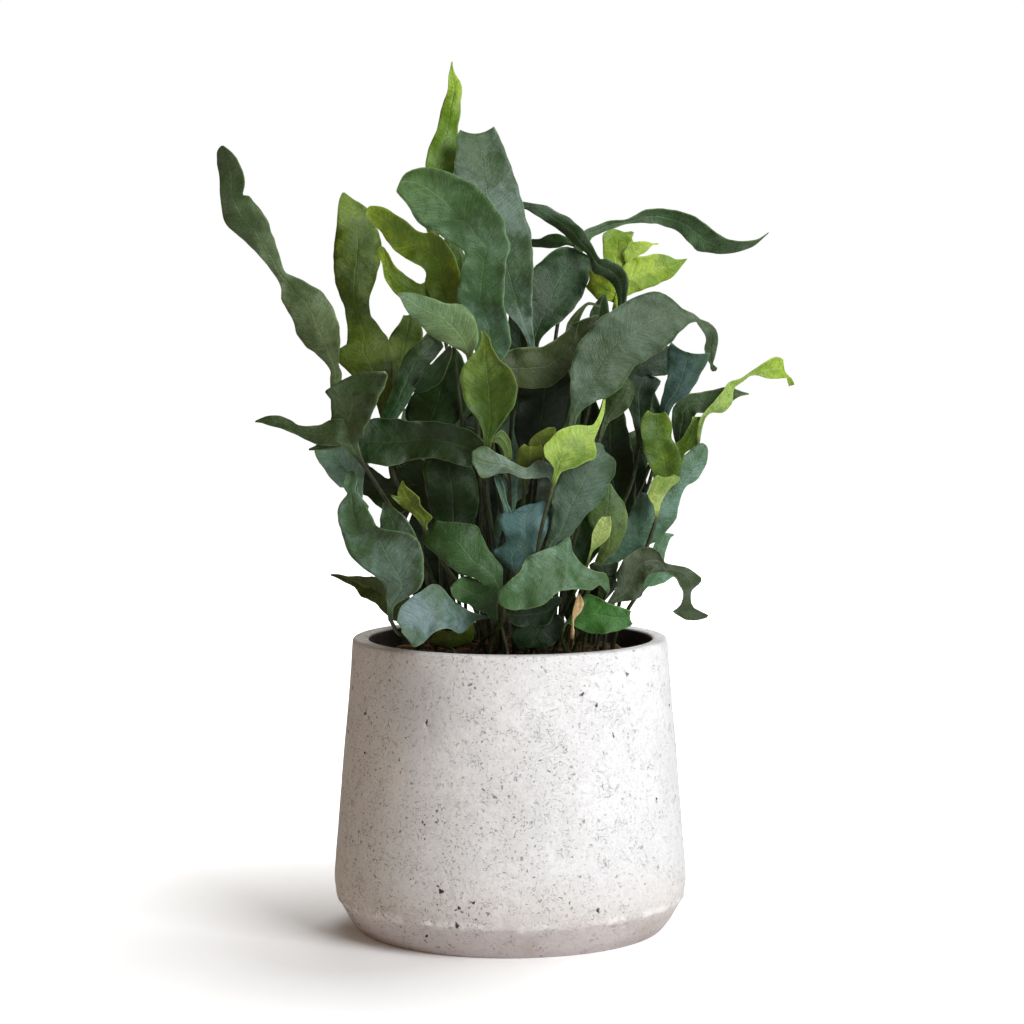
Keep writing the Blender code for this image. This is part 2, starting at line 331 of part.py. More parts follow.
                         (-62.5, 169.8, -44.5, 168.5), (-68, 174.8, -42.8, 174.5), (-75, 179.6, -42.9, 181.5),
                         (-80, 185.5, -43.8, 188), (-82.2, 192, -50, 195), (-84, 198, -64, 197.7),
                         (-85.6, 204, -68.8, 204), (-84.8, 209, -70.5, 208.5), (-82, 212.6, -74, 213.5),
                         (-80.5, 215, -76.5, 216), (-82.5, 218.5, -76, 218.5), (-81.8, 223, -75.5, 222.5),
                         (-80.5, 226, -77, 226.3)]),
        (None, -34, 0, [(-64, 184, -44, 184), (-66, 190, -45, 191), (-65.5, 194.5, -47.5, 196),
                        (-64.3, 199, -50, 200.5), (-64.7, 202, -53.3, 204.8), (-63.6, 206, -57.5, 208),
                        (-63, 210.6, -61.6, 210.9)]),
        (None, -28, 0, [(-68, 195, -65.5, 196.5), (-71.3, 200, -69.3, 201.5), (-74, 204.8, -71, 206),
                        (-78, 208.8, -70, 208.5), (-78.5, 212.5, -72.8, 212), (-77.4, 216, -75, 215.5),
                        (-76.8, 218.5, -75.6, 218.5)])]),
    "frond_dark_left": ("green", (-34, -6), [
        (-16, -4, 0, [(-42, 205, -39, 212), (-48, 207, -42, 231), (-55, 205, -53, 229),
                       (-62, 206.5, -60, 222.5), (-66.5, 209.5, -65, 225.5), (-70.5, 213.7, -69.5, 228),
                       (-74, 214.8, -72.5, 225), (-76, 216.5, -75.8, 219)])]),
    "frond_twin_tip": ("fresh", (-12, -34), [
        (-46, -40, 0, [(-42, 195, -40.2, 195), (-44, 199.6, -41, 200), (-46.5, 202.7, -38.5, 203.2),
                       (-50, 206, -42, 206.4), (-53.5, 208.5, -44.5, 209.8), (-55, 212, -45, 213),
                       (-55.7, 215.8, -48.5, 216.3), (-54.6, 219, -51.8, 218.8), (-53.5, 221.3, -52.7, 221.4)]),
        (None, -42, 0, [(-53, 208, -51.5, 212), (-56, 210.6, -55, 213.2), (-59, 213.7, -58.7, 214.6)])]),
    "frond_green_oval": ("green", (-8, -22), [
        (-30, -26, 0, [(-28, 190, -25, 190), (-33, 198, -22, 197), (-39, 205, -17.5, 203),
                       (-41, 213, -15.5, 211), (-42.5, 221, -16, 219), (-43.2, 228, -18, 226),
                       (-41, 233, -22, 231), (-36, 236.5, -27, 235)])]),
    "frond_diagonal": ("glaucous", (-8, -44), [
        (-64, -52, -2, [(-4, 160, -2.2, 161), (-8, 167, -3.8, 170), (-13, 170, -4, 177.5),
                        (-18, 173.3, -7.5, 183), (-24.5, 175, -10.5, 187), (-29, 177.8, -13.5, 193),
                        (-33.5, 181.8, -15.8, 198), (-38, 186, -20, 199.8), (-42, 189.2, -27, 200.6),
                        (-43.3, 192, -33, 201.2), (-42, 196.5, -37, 201.5)])]),
    "frond_low_green": ("green", (-16, -42), [
        (-56, -66, 0, [(-8, 150, -6, 151), (-12, 155.5, -6.5, 158), (-17, 157, -6, 164),
                       (-20.5, 159.8, -8, 168), (-24, 161, -13.5, 170.3), (-27.3, 163, -18.5, 173.3),
                       (-29.3, 165.5, -23.5, 174), (-29.8, 168.5, -27.3, 171)])]),
    "frond_low_olive": ("olive", (-26, -48), [
        (-48, -52, 0, [(-34, 138.5, -24, 138.8), (-40, 140, -19, 141.5), (-39, 143.6, -17.8, 146),
                       (-35, 147.4, -19, 151)])]),
}

# The far side, which the front hides: stand, lean and reach of each frond, with two or three lobes
BACK = [(-54, 34, 70, 92, 96, 4), (-30, 44, 92, 120, 118, 5), (-8, 36, 70, 108, 132, 4),
        (14, 52, 100, 100, 112, 5), (36, 40, 80, 118, 124, 4), (68, 22, 40, 80, 92, 4),
        (-4, 66, 112, 54, 86, 4)]


def seen(x, z, y):
    """The point at depth y behind the place (x, z) of the upright plane through the pot's axis."""
    k = (y - EYE[1]) / -EYE[1]
    return np.stack(np.broadcast_arrays(EYE[0] + (x - EYE[0]) * k, y, EYE[2] + (z - EYE[2]) * k), -1)


def soil_height(radius):
    """Height of the mix at a radius: a low crown that falls away to the wall."""
    return SOIL_EDGE + (SOIL_CROWN - SOIL_EDGE) * (1 - (min(radius, 69.0) / 69.0) ** 3)


def back_fronds():
    """Fronds for the far side, drawn by rule: a leaning main blade with lobes to either side."""
    draw = random.Random(41)
    made = {}
    for index, (x, near, far, reach, height, lobes) in enumerate(BACK):
        base_z = 168 + draw.uniform(0, 22)
        lean = draw.uniform(-0.12, 0.12)
        width = draw.uniform(9.5, 12.5)

        def middle(t):
            return x * (0.45 + 0.5 * t) + 10 * lean * t, base_z + height * (t - 0.16 * t * t)

        blade = []
        for step in range(10):
            t = step / 9
            cx, cz = middle(t)
            half = max(width * math.sin(math.pi * min(1, t * 0.94 + 0.05)) ** 0.75, 0.7)
            half *= 1 + 0.16 * math.sin(9 * t + index)
            blade.append((cx - half, cz - 0.2 * half, cx + half, cz + 0.2 * half))
        blades = [(near, far, -8, blade)]
        for lobe in range(lobes - 1):
            side = -1 if lobe % 2 else 1
            start = 0.24 + 0.56 * lobe / (lobes - 1) + draw.uniform(-0.03, 0.03)
            length = draw.uniform(26, 36)
            cx, cz = middle(start)
            rows = []
            for step in range(5):
                t = step / 4
                px, pz = cx + side * length * 0.62 * t, cz + length * (0.25 + 0.62 * t)
                half = max(6.4 * math.sin(math.pi * min(1, 0.2 + 0.78 * t)) ** 0.8, 0.7)
                low, high = (px - side * 0.55 * half, pz + 0.8 * half), (px + side * 0.55 * half, pz - 0.8 * half)
                rows.append((*low, *high) if side > 0 else (*high, *low))
            blades.append((None, near + (far - near) * (start + 0.35), 0, rows))
        root = (x * 0.42, min(18 + 0.4 * near, 44))
        made[f"frond_back_{index + 1}"] = (("glaucous", "green", "bluish", "olive")[index % 4], root, blades)
    return made


def spread_roots(fronds):
    """Moves the roots apart until none is nearer than 7 mm to another, inside a 57 mm circle."""
    names = list(fronds)
    places = np.array([fronds[name][1] for name in names], float)
    for _ in range(400):
        apart = places[:, None] - places[None]
        far = np.hypot(*np.moveaxis(apart, -1, 0))
        np.fill_diagonal(far, 99)
        push = np.where(far < 7.0, (7.0 - far) / np.maximum(far, 0.01), 0)[..., None] * apart
        places += 0.3 * push.sum(1)
        radius = np.hypot(*places.T)
        places *= np.minimum(1, 57 / np.maximum(radius, 1))[:, None]
    return dict(zip(names, places))


def smooth_curve(points, steps):
    """A Catmull-Rom curve through the points, with the given number of steps in each span."""
    points = np.asarray(points, float)
    padded = np.vstack([2 * points[0] - points[1], points, 2 * points[-1] - points[-2]])
    out = [points[0]]
    for i, count in enumerate(steps):
        a, b, c, d = padded[i:i + 4]
        for t in np.arange(1, count + 1) / count:
            out.append(0.5 * (2 * b + (c - a) * t + (2 * a - 5 * b + 4 * c - d) * t * t
                              + (3 * b - a - 3 * c + d) * t ** 3))
    return np.array(out)


def thinned(rows):
    """The rows without those that lie within a millimetre of the line between their neighbours."""
    rows = list(rows)
    while True:
        loss = []
        for i in range(1, len(rows) - 1):
            before, here, after = rows[i - 1:i + 2]
            step = after - before
            length = max(np.hypot(*(step[:2] + step[2:])) / 2, 0.1)
            share = ((here - before) @ step) / max(step @ step, 1e-6)
            off = np.abs(before + share * step - here).max()
            loss.append(off + (99 if length > LONGEST_STEP else 0))
        if not loss or min(loss) > THINNED_BY:
            return np.array(rows)
        del rows[1 + int(np.argmin(loss))]


class Blade:
    """Rings of a stipe and blade: left, middle and right in the front view, with a depth for each."""

    def __init__(self, name, number, depths, rows, root=None):
        draw = random.Random(f"{name}{number}")
        near, far, bow = depths
        rows = np.asarray(rows, float)
        spans = np.hypot(*(np.diff((rows[:, :2] + rows[:, 2:]) / 2, axis=0).T))
        rows = thinned(smooth_curve(rows, [max(1, math.ceil(span / RING_STEP - 0.4)) for span in spans]))
        left, right = rows[:, :2], rows[:, 2:]
        middle = (left + right) / 2
        along = np.concatenate([[0], np.cumsum(np.hypot(*np.diff(middle, axis=0).T))])
        part = along / along[-1]
        depth = near + (far - near) * part + 4 * bow * part * (1 - part)
        across = np.hypot(*(right - left).T)
        facing = np.clip(-depth / 40, -1, 1)
        lean = 0.9 * facing * middle[:, 0] / SHELL_RADIUS
        rise = 0.28 * facing
        twist = np.interp(part, (0, 1), (draw.uniform(-0.3, 0.3), draw.uniform(-0.45, 0.45)))
        lean = lean + twist * np.minimum(1, part * 4 + (number == 0))
        cup = draw.choice((-1, 1)) * draw.uniform(0.05, 0.11)
        wave = draw.uniform(0.045, 0.08) * across * np.minimum(1, part * 5)
        length, start = draw.uniform(30, 42), draw.uniform(0, 6.28)
        ripple = wave * np.sin(2 * math.pi * along / length + start)
        ripple_right = wave * np.sin(2 * math.pi * along / (0.87 * length) + start + 2.2)
        self.xz = np.stack([left, middle, right], 1)
        self.y = np.stack([depth + lean * (left - middle)[:, 0] + rise * (left - middle)[:, 1] + ripple,
                           depth + cup * across,
                           depth + lean * (right - middle)[:, 0] + rise * (right - middle)[:, 1] + ripple_right], 1)
        self.stem = 0
        if root is not None:
            self.add_stipe(root)
        self.shift = np.zeros(len(self.y))
        self.points = None

    def add_stipe(self, root):
        """Rings of a round stipe from its hole in the mix to the foot of the blade."""
        top = soil_height(math.hypot(*root))
        start = np.array((root[0], root[1], top - STIPE_DEPTH))
        rise = np.array((root[0], root[1], top + 1.5))
        foot = seen(*self.xz[0, 1], self.y[0, 1])
        ahead = seen(*self.xz[1, 1], self.y[1, 1]) - foot
        reach = np.linalg.norm(foot - rise)
        pull = foot - ahead / np.linalg.norm(ahead) * reach * 0.3
        lift = rise + np.array((0, 0, reach * 0.42))
        curve = [start]
        count = max(3, round(reach / 27))
        for t in np.arange(count) / count:
            curve.append((1 - t) ** 3 * rise + 3 * (1 - t) ** 2 * t * lift + 3 * (1 - t) * t * t * pull + t ** 3 * foot)
        curve = np.array(curve)
        k = -EYE[1] / (curve[:, 1] - EYE[1])
        flat = np.stack([EYE[0] + (curve[:, 0] - EYE[0]) * k, EYE[2] + (curve[:, 2] - EYE[2]) * k], -1)
        side = self.xz[0, 2] - self.xz[0, 0]
        side = side / np.linalg.norm(side)
        turn = np.minimum(1, np.arange(len(curve)) / len(curve) * 1.2)[:, None]
        side = (1 - turn) * np.array((1.0, 0.0)) + turn * side
        side /= np.linalg.norm(side, axis=1)[:, None]
        self.xz = np.concatenate([np.stack([flat - side * STIPE_RADIUS, flat, flat + side * STIPE_RADIUS], 1), self.xz])
        self.y = np.concatenate([np.repeat(curve[:, 1:2], 3, 1), self.y])
        self.stem = len(curve)

    def rings(self):
        """Six points for each ring: left, middle and right of the upper face, then of the lower face."""
        place = seen(self.xz[..., 0], self.xz[..., 1], self.y + self.shift[:, None])
        left, middle, right = place[:, 0], place[:, 1], place[:, 2]
        along = np.gradient(middle, axis=0)
        normal = np.cross(along, right - left)
        size = np.linalg.norm(normal, axis=1)
        for i in np.flatnonzero(size < 1e-6):
            normal[i], size[i] = normal[i - 1], size[i - 1]
        normal /= size[:, None]
        if self.stem:
            flow = along[:self.stem] / np.linalg.norm(along[:self.stem], axis=1)[:, None]
            side = (right - left)[:self.stem]
            side -= flow * (side * flow).sum(1)[:, None]
            side /= np.linalg.norm(side, axis=1)[:, None]
            normal[:self.stem] = np.cross(flow, side)
            left[:self.stem] = middle[:self.stem] - side * STIPE_RADIUS * 0.9
            right[:self.stem] = middle[:self.stem] + side * STIPE_RADIUS * 0.9
        edge = np.full(len(left), BLADE_EDGE / 2)
        core = np.full(len(left), BLADE_MIDDLE / 2)
        edge[:self.stem], core[:self.stem] = STIPE_RADIUS * 0.5, STIPE_RADIUS
        if self.stem:
            core[self.stem], edge[self.stem] = 0.85, 0.5
        return np.stack([p + sign * t[:, None] * normal for sign in (1, -1)
                         for p, t in ((left, edge), (middle, core), (right, edge))], 1)


def surface_at(blade, spot):
    """The ring (as a fraction) and depth of the blade at the place on it that is nearest to a spot."""
    rings = len(blade.y) - 1
    along = np.linspace(blade.stem, rings, 6 * (rings - blade.stem) + 1)
    across = np.linspace(0, 2, 13)
    lower, side = np.minimum(along.astype(int), rings - 1), np.minimum(across.astype(int), 1)
    u, v = (along - lower)[:, None], (across - side)[None]
    held = np.concatenate([blade.xz, blade.y[..., None]], -1)

    def corner(i, j):
        return held[(lower + i)[:, None], (side + j)[None]]

    u, v = u[..., None], v[..., None]
    place = (1 - u) * ((1 - v) * corner(0, 0) + v * corner(0, 1)) + u * ((1 - v) * corner(1, 0) + v * corner(1, 1))
    best = np.unravel_index(np.argmin(np.linalg.norm(place[..., :2] - spot, axis=-1)), place.shape[:2])
    return along[best[0]], place[best][2]


def build_blades(fronds, roots):
    """The rings of every blade. A lobe starts within the blade that it grows from."""
    made = {}
    for name, (_, _, blades) in fronds.items():
        row = []
        for number, (near, far, bow, stations) in enumerate(blades):
            if number:
                stations = np.asarray(stations, float)
                foot = (stations[0, :2] + stations[0, 2:]) / 2
                near = surface_at(row[0], foot)[1]
                blade = Blade(name, number, (near, far, bow), stations)
                found = [surface_at(row[0], spot) for spot in blade.xz[0]]
                blade.y[0] = [depth for _, depth in found]
                blade.y[1] += 0.5 * (blade.y[0, 1] - near)
                blade.joint = found[1][0]
            else:
                blade = Blade(name, number, (near, far, bow), stations, roots[name])
            row.append(blade)
        made[name] = row
    return made


def bend_clear(made):
    """Bends the blades apart along the lines of sight until each passes before or behind the others.

    Sliding a ring along its line of sight leaves the front view as it is, so every place where two blades
    share a line of sight only needs a depth between them."""
    cells, groups, ring_a, share, base, part_of, offsets, strips = [], [], [], [], [], [], [], []
    total = 0
    for name, row in made.items():
        for blade in row:
            count = len(blade.y)
            offsets.append(total)
            strips.append((blade, name))
            for i in range(count - 1):
                corner = blade.xz[i:i + 2]
                rows = max(2, int(np.linalg.norm(corner[1, 1] - corner[0, 1]) / 1.2) + 1)
                wide = np.linalg.norm(corner[:, 2] - corner[:, 0], axis=-1).max()
                cols = max(2, int(wide / 2 / 1.2) + 1)
                u, v = np.meshgrid((np.arange(rows) + 0.5) / rows, (np.arange(cols) + 0.5) / cols, indexing="ij")
                u, v = u.ravel(), v.ravel()
                for half in (0, 1):
                    w = np.stack([(1 - u) * (1 - v), (1 - u) * v, u * (1 - v), u * v], -1)
                    xz = np.concatenate([corner[:, half:half + 2].reshape(4, 2)])
                    depth = blade.y[i:i + 2, half:half + 2].reshape(4)
                    where = w @ xz
                    cells.append(np.floor(where / CELL).astype(int))
                    base.append(w @ depth)
                    share.append(u)
                    ring_a.append(np.full(len(u), total + i))
                    stemmed = i < blade.stem
                    part_of.append(np.full(len(u), 2 * (len(strips) - 1) + stemmed))
            total += count
    cells = np.concatenate(cells)
    key = (cells[:, 0] + 400) * 1000 + cells[:, 1] + 100
    base, share = np.concatenate(base), np.concatenate(share)
    ring_a, part_of = np.concatenate(ring_a), np.concatenate(part_of)
    names = list(made)
    frond_of = np.array([names.index(strips[p // 2][1]) for p in range(2 * len(strips))])
    order = np.lexsort((part_of, key))
    key, base, share, ring_a, part_of = (a[order] for a in (key, base, share, ring_a, part_of))
    change = np.flatnonzero(np.diff(key * 4096 + part_of)) + 1
    starts = np.concatenate([[0], change])
    group_key, group_part = key[starts], part_of[starts]
    sizes = np.diff(np.concatenate([starts, [len(key)]]))
    lead = np.repeat(np.arange(len(starts)), sizes)
    mean_ring = np.add.reduceat(ring_a + share, starts) / sizes
    lower = np.minimum(mean_ring.astype(int), total - 2)
    frac = mean_ring - lower
    pairs_a, pairs_b = [], []
    for reach in range(1, 12):
        a = np.arange(len(group_key) - reach)
        same = (group_key[a] == group_key[a + reach]) & (frond_of[group_part[a]] != frond_of[group_part[a + reach]])
        pairs_a.append(a[same])
        pairs_b.append(a[same] + reach)
    pairs_a, pairs_b = np.concatenate(pairs_a), np.concatenate(pairs_b)
    mean = np.add.reduceat(base, starts) / sizes
    # one order for each pair of parts, so that they never cut through each other
    code = group_part[pairs_a] * 4096 + group_part[pairs_b]
    kinds, which = np.unique(code, return_inverse=True)
    vote = np.bincount(which, weights=np.tanh((mean[pairs_b] - mean[pairs_a]) / 6))
    sign = np.where(vote[which] >= 0, 1.0, -1.0)
    shift = np.zeros(total)
    held = np.zeros(total)
    for (blade, _), begin in zip(strips, offsets):
        held[begin:begin + len(blade.y)] = 1
        if blade.stem:
            held[begin:begin + 3] = 0
            ramp = min(4, blade.stem)
            held[begin + 2:begin + 2 + ramp] = np.arange(1, ramp + 1) / (ramp + 1)
    for round_number in range(260):
        depth = base + (1 - share) * shift[ring_a] + share * shift[np.minimum(ring_a + 1, total - 1)]
        low = np.minimum.reduceat(depth, starts)
        high = np.maximum.reduceat(depth, starts)
        front = np.where(sign > 0, high[pairs_a], high[pairs_b])
        behind = np.where(sign > 0, low[pairs_b], low[pairs_a])
        lack = np.clip(CLEARANCE - (behind - front), 0, 6)
        push = np.zeros(len(starts))
        weight = np.zeros(len(starts))
        for pair, way in ((pairs_a, -sign), (pairs_b, sign)):
            push += np.bincount(pair, weights=0.5 * lack * way, minlength=len(starts))
            weight += np.bincount(pair, weights=(lack > 0) * 1.0, minlength=len(starts))
        step = np.where(weight > 0, push / np.maximum(weight, 1), 0)
        gather = (np.bincount(lower, weights=(1 - frac) * step, minlength=total)
                  + np.bincount(lower + 1, weights=frac * step, minlength=total))
        number = (np.bincount(lower, weights=(1 - frac) * (weight > 0), minlength=total)
                  + np.bincount(lower + 1, weights=frac * (weight > 0), minlength=total))
        shift += held * 0.8 * np.where(number > 0, gather / np.maximum(number, 0.5), 0)
        for (blade, _), begin in zip(strips, offsets):
            line = shift[begin:begin + len(blade.y)]
            hold = held[begin:begin + len(blade.y)]
            line[1:-1] += hold[1:-1] * 0.25 * (line[:-2] + line[2:] - 2 * line[1:-1])
            line[-1] += 0.3 * (line[-2] - line[-1])
        main_begin = 0
        for (blade, name), begin in zip(strips, offsets):
            if hasattr(blade, "joint"):
                line = shift[begin:begin + len(blade.y)]
                fade = np.clip(1 - np.arange(len(line)) / 3, 0, 1)
                ring = main_begin + blade.joint
                line += fade * (np.interp(ring, np.arange(total), shift) - line[0])
            else:
                main_begin = begin
    for (blade, _), begin in zip(strips, offsets):
        blade.shift = shift[begin:begin + len(blade.y)].copy()
    return float(lack.max()), int((lack > 1.6).sum())


def material(name, colour, roughness):
    made = bpy.data.materials.new(name)
    made.use_nodes = True
    shader = made.node_tree.nodes["Principled BSDF"]
    shader.inputs["Base Color"].default_value = (*colour, 1)
    shader.inputs["Roughness"].default_value = roughness
    shader.inputs["Metallic"].default_value = 0
    return made


def mesh_object(name, points, faces, skin=None, helper=False):
    """An object from points in millimetres. Helpers are guides and cutters, which aren't rendered."""
    mesh = bpy.data.meshes.new(name)
    mesh.from_pydata([tuple(p) for p in np.asarray(points) / 1000], [], [tuple(map(int, f)) for f in faces])
    mesh.validate()
    made = bpy.data.objects.new(name, mesh)
    bpy.context.scene.collection.objects.link(made)
    if skin:
        mesh.materials.append(skin)
    if helper:
        made.hide_render = True
        made.display_type = "WIRE"
    return made


def tube_faces(rings, size=6):
    """Triangles of a closed tube. The two faces of the blade are split along the same diagonals."""
    faces = []
    loop = [0, 1, 2, 5, 4, 3]
    flip = {(0, 1): 0, (1, 2): 1, (2, 5): 0, (5, 4): 0, (4, 3): 1, (3, 0): 1}
    for i in range(rings - 1):
        a, b = i * size, (i + 1) * size
        for j in range(size):
            p, q = loop[j], loop[(j + 1) % size]
            if flip[(p, q)]:
                faces += [(a + p, a + q, b + p), (a + q, b + q, b + p)]
            else:
                faces += [(a + p, a + q, b + q), (a + p, b + q, b + p)]
    end = (rings - 1) * size
    faces += [(0, 3, 1), (3, 4, 1), (1, 4, 2), (4, 5, 2)]
    faces += [(end + 0, end + 1, end + 3), (end + 3, end + 1, end + 4),
              (end + 1, end + 2, end + 4), (end + 4, end + 2, end + 5)]
    return faces


def outward(points, faces):
    """The faces turned to point out of the solid."""
    corners = np.asarray(points)[np.asarray(faces)]
    return faces if np.linalg.det(corners).sum() > 0 else [f[::-1] for f in faces]


def turned(profile, sides):
    """Points and faces of a profile of (radius, height) turned round the axis; its ends lie on the axis."""
    points, faces = [], []
    inner = profile[1:-1]
    for radius, height in inner:
        for i in range(sides):
            angle = 2 * math.pi * i / sides
            points.append((radius * math.cos(angle), radius * math.sin(angle), height))
    for k in range(len(inner) - 1):
        for i in range(sides):
            j = (i + 1) % sides
            faces.append((k * sides + i, k * sides + j, (k + 1) * sides + j, (k + 1) * sides + i))
    first, last = len(points), len(points) + 1
    points += [(0, 0, profile[0][1]), (0, 0, profile[-1][1])]
    end = (len(inner) - 1) * sides
    for i in range(sides):
        j = (i + 1) % sides
        faces.append((first, j, i))
        faces.append((last, end + i, end + j))
    return points, faces


def join(target, others, operation):
    """One Boolean between the target and a collection of helpers, applied, and the helpers removed."""
    group = bpy.data.collections.new("helpers")
    bpy.context.scene.collection.children.link(group)
    for other in others:
        bpy.context.scene.collection.objects.unlink(other)
        group.objects.link(other)
    change = target.modifiers.new("join", "BOOLEAN")
    change.operation = operation
    change.operand_type = "COLLECTION"
    change.collection = group
    change.solver = "MANIFOLD"
    bpy.context.view_layer.objects.active = target
    bpy.context.view_layer.update()
    bpy.ops.object.modifier_apply(modifier=change.name)
    for other in others:
        bpy.data.objects.remove(other)
    bpy.data.collections.remove(group)


def make_pot():
    belly, foot, rim = POT_BELLY_RADIUS, POT_FOOT_RADIUS, POT_RIM_RADIUS
    inner = rim - POT_WALL
    profile = [(0, 0), (foot - 1.2, 0), (foot, 0.8), (foot + 3.6, 5), (belly - 2.2, 14.5), (belly - 0.4, 20),
               (belly, 24.5), (belly - 0.35, 31), (belly - 2.1, 55), (rim + 2.6, 110), (rim + 0.2, POT_HEIGHT - 3.2),
               (rim - 0.7, POT_HEIGHT - 1), (rim - 2.4, POT_HEIGHT), (inner + 2.2, POT_HEIGHT),
               (inner + 0.5, POT_HEIGHT - 1.2), (inner, POT_HEIGHT - 4), (inner - 2.5, 60),
               (inner - 6, POT_FLOOR + 6), (inner - 10, POT_FLOOR), (0, POT_FLOOR)]
    points, faces = turned(profile, POT_SIDES)
    made = mesh_object("pot", points, faces, material("concrete", (0.62, 0.6, 0.57), 0.85))
    made.data.shade_smooth()
    made.data.set_sharp_from_angle(angle=math.radians(40))


def make_soil(roots):
    """The mix fills the pot from its floor, a hair clear of the wall, with a plain hole for each stipe."""
    inner = POT_RIM_RADIUS - POT_WALL - GAP
    top = [(radius, soil_height(radius)) for radius in (64, 52, 38, 22)]
    edge = inner - 2.5 * (POT_HEIGHT - 4 - SOIL_EDGE) / (POT_HEIGHT - 64)
    profile = [(0, POT_FLOOR + GAP), (inner - 10.3, POT_FLOOR + GAP), (inner - 6.2, POT_FLOOR + 6.2),
               (inner - 2.6, 60), (edge - 0.15, SOIL_EDGE - 0.2), *top, (0, SOIL_CROWN)]
    points, faces = turned(profile, SOIL_SIDES)
    made = mesh_object("soil", points, faces, material("potting_mix", (0.045, 0.028, 0.018), 0.95))
    cutters = []
    for x, y in roots.values():
        top = soil_height(math.hypot(x, y))
        low, high = top - STIPE_DEPTH - 1.5, top + 6
        ring = [(x + STIPE_HOLE * math.cos(a), y + STIPE_HOLE * math.sin(a)) for a in np.arange(6) * math.pi / 3]
        spots = [(*p, low) for p in ring] + [(*p, high) for p in ring]
        sides = [(i, (i + 1) % 6, (i + 1) % 6 + 6, i + 6) for i in range(6)]
        cutters.append(mesh_object("hole", spots, sides + [tuple(range(5, -1, -1)), tuple(range(6, 12))], helper=True))
    join(made, cutters, "DIFFERENCE")


def make_frond(name, colour, blades):
    solids = []
    for number, blade in enumerate(blades):
        rings = blade.rings()
        points = rings.reshape(-1, 3)
        faces = outward(points, tube_faces(len(rings)))
        solids.append(mesh_object(name if number == 0 else "lobe", points, faces, helper=number > 0))
    if len(solids) > 1:
        join(solids[0], solids[1:], "UNION")
    mesh = solids[0].data
    mesh.materials.clear()
    mesh.materials.append(material(name, COLOURS[colour], 0.5))
    mesh.shade_smooth()
    mesh.set_sharp_from_angle(angle=math.radians(50))


def main():
    for item in list(bpy.data.objects):
        bpy.data.objects.remove(item)
    fronds = {**FRONDS, **back_fronds()}
    roots = spread_roots(fronds)
    blades = build_blades(fronds, roots)
    bend_clear(blades)
    make_pot()
    make_soil(roots)
    for name, (colour, _, _) in fronds.items():
        make_frond(name, colour, blades[name])


main()
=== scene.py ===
"""Blue star fern in a whitewashed concrete pot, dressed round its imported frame."""
import json
import math
import random

import bmesh
import bpy
import numpy as np
from mathutils import Matrix, Vector, noise


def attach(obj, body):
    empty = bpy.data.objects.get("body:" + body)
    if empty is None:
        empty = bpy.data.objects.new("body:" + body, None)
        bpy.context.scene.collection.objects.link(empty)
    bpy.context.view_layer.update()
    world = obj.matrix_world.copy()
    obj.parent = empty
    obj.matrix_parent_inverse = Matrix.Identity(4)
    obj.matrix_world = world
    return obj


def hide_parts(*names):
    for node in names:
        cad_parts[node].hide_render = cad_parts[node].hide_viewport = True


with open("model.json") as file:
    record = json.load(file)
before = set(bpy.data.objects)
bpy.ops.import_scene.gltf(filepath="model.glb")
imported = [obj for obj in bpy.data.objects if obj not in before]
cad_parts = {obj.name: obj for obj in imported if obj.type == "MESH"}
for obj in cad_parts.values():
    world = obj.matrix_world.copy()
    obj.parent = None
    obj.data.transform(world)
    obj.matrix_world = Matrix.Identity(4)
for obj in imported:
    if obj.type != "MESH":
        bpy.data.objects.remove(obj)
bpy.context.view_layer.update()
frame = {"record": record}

# The studio: a wide sheet of white card on the floor, soft windows at the right front and behind, a soft
# light overhead and a weak warm bounce at the left, in a dim room. The camera stands a little higher than
# the middle of the fronds and looks down a little, with a long lens.
EYE = np.array((0.86, -1363.25, 308.29))  # millimetres, as all the tables below
CAMERA_PITCH = 0.0750
CAMERA_LENS = 97.24
CAMERA_FILM = 36.0
CAMERA_NEAREST = 0.05

scene = bpy.context.scene
lens = bpy.data.cameras.new("camera")
lens.lens, lens.sensor_width, lens.clip_start = CAMERA_LENS, CAMERA_FILM, CAMERA_NEAREST
camera = bpy.data.objects.new("camera", lens)
scene.collection.objects.link(camera)
camera.location = Vector(EYE / 1000)
camera.rotation_euler = (math.pi / 2 - CAMERA_PITCH, 0, 0)
scene.camera = camera
scene.view_settings.view_transform = "Standard"
scene.view_settings.look = "None"


class Term:
    """A number that changes over a surface. Sums and products of it add the material's nodes."""

    def __init__(self, shade, socket):
        self.shade, self.socket = shade, socket

    def maths(self, operation, first, second=None):
        given = {0: first} if second is None else {0: first, 1: second}
        return self.shade.term("ShaderNodeMath", {"operation": operation}, given)

    def __add__(self, other): return self.maths("ADD", self, other)
    def __radd__(self, other): return self.maths("ADD", other, self)
    def __sub__(self, other): return self.maths("SUBTRACT", self, other)
    def __rsub__(self, other): return self.maths("SUBTRACT", other, self)
    def __mul__(self, other): return self.maths("MULTIPLY", self, other)
    def __rmul__(self, other): return self.maths("MULTIPLY", other, self)
    def __truediv__(self, other): return self.maths("DIVIDE", self, other)
    def __rtruediv__(self, other): return self.maths("DIVIDE", other, self)
    def __abs__(self): return self.maths("ABSOLUTE", self)
    def wrapped(self): return self.maths("FRACT", self)
    def root(self): return self.maths("SQRT", self)


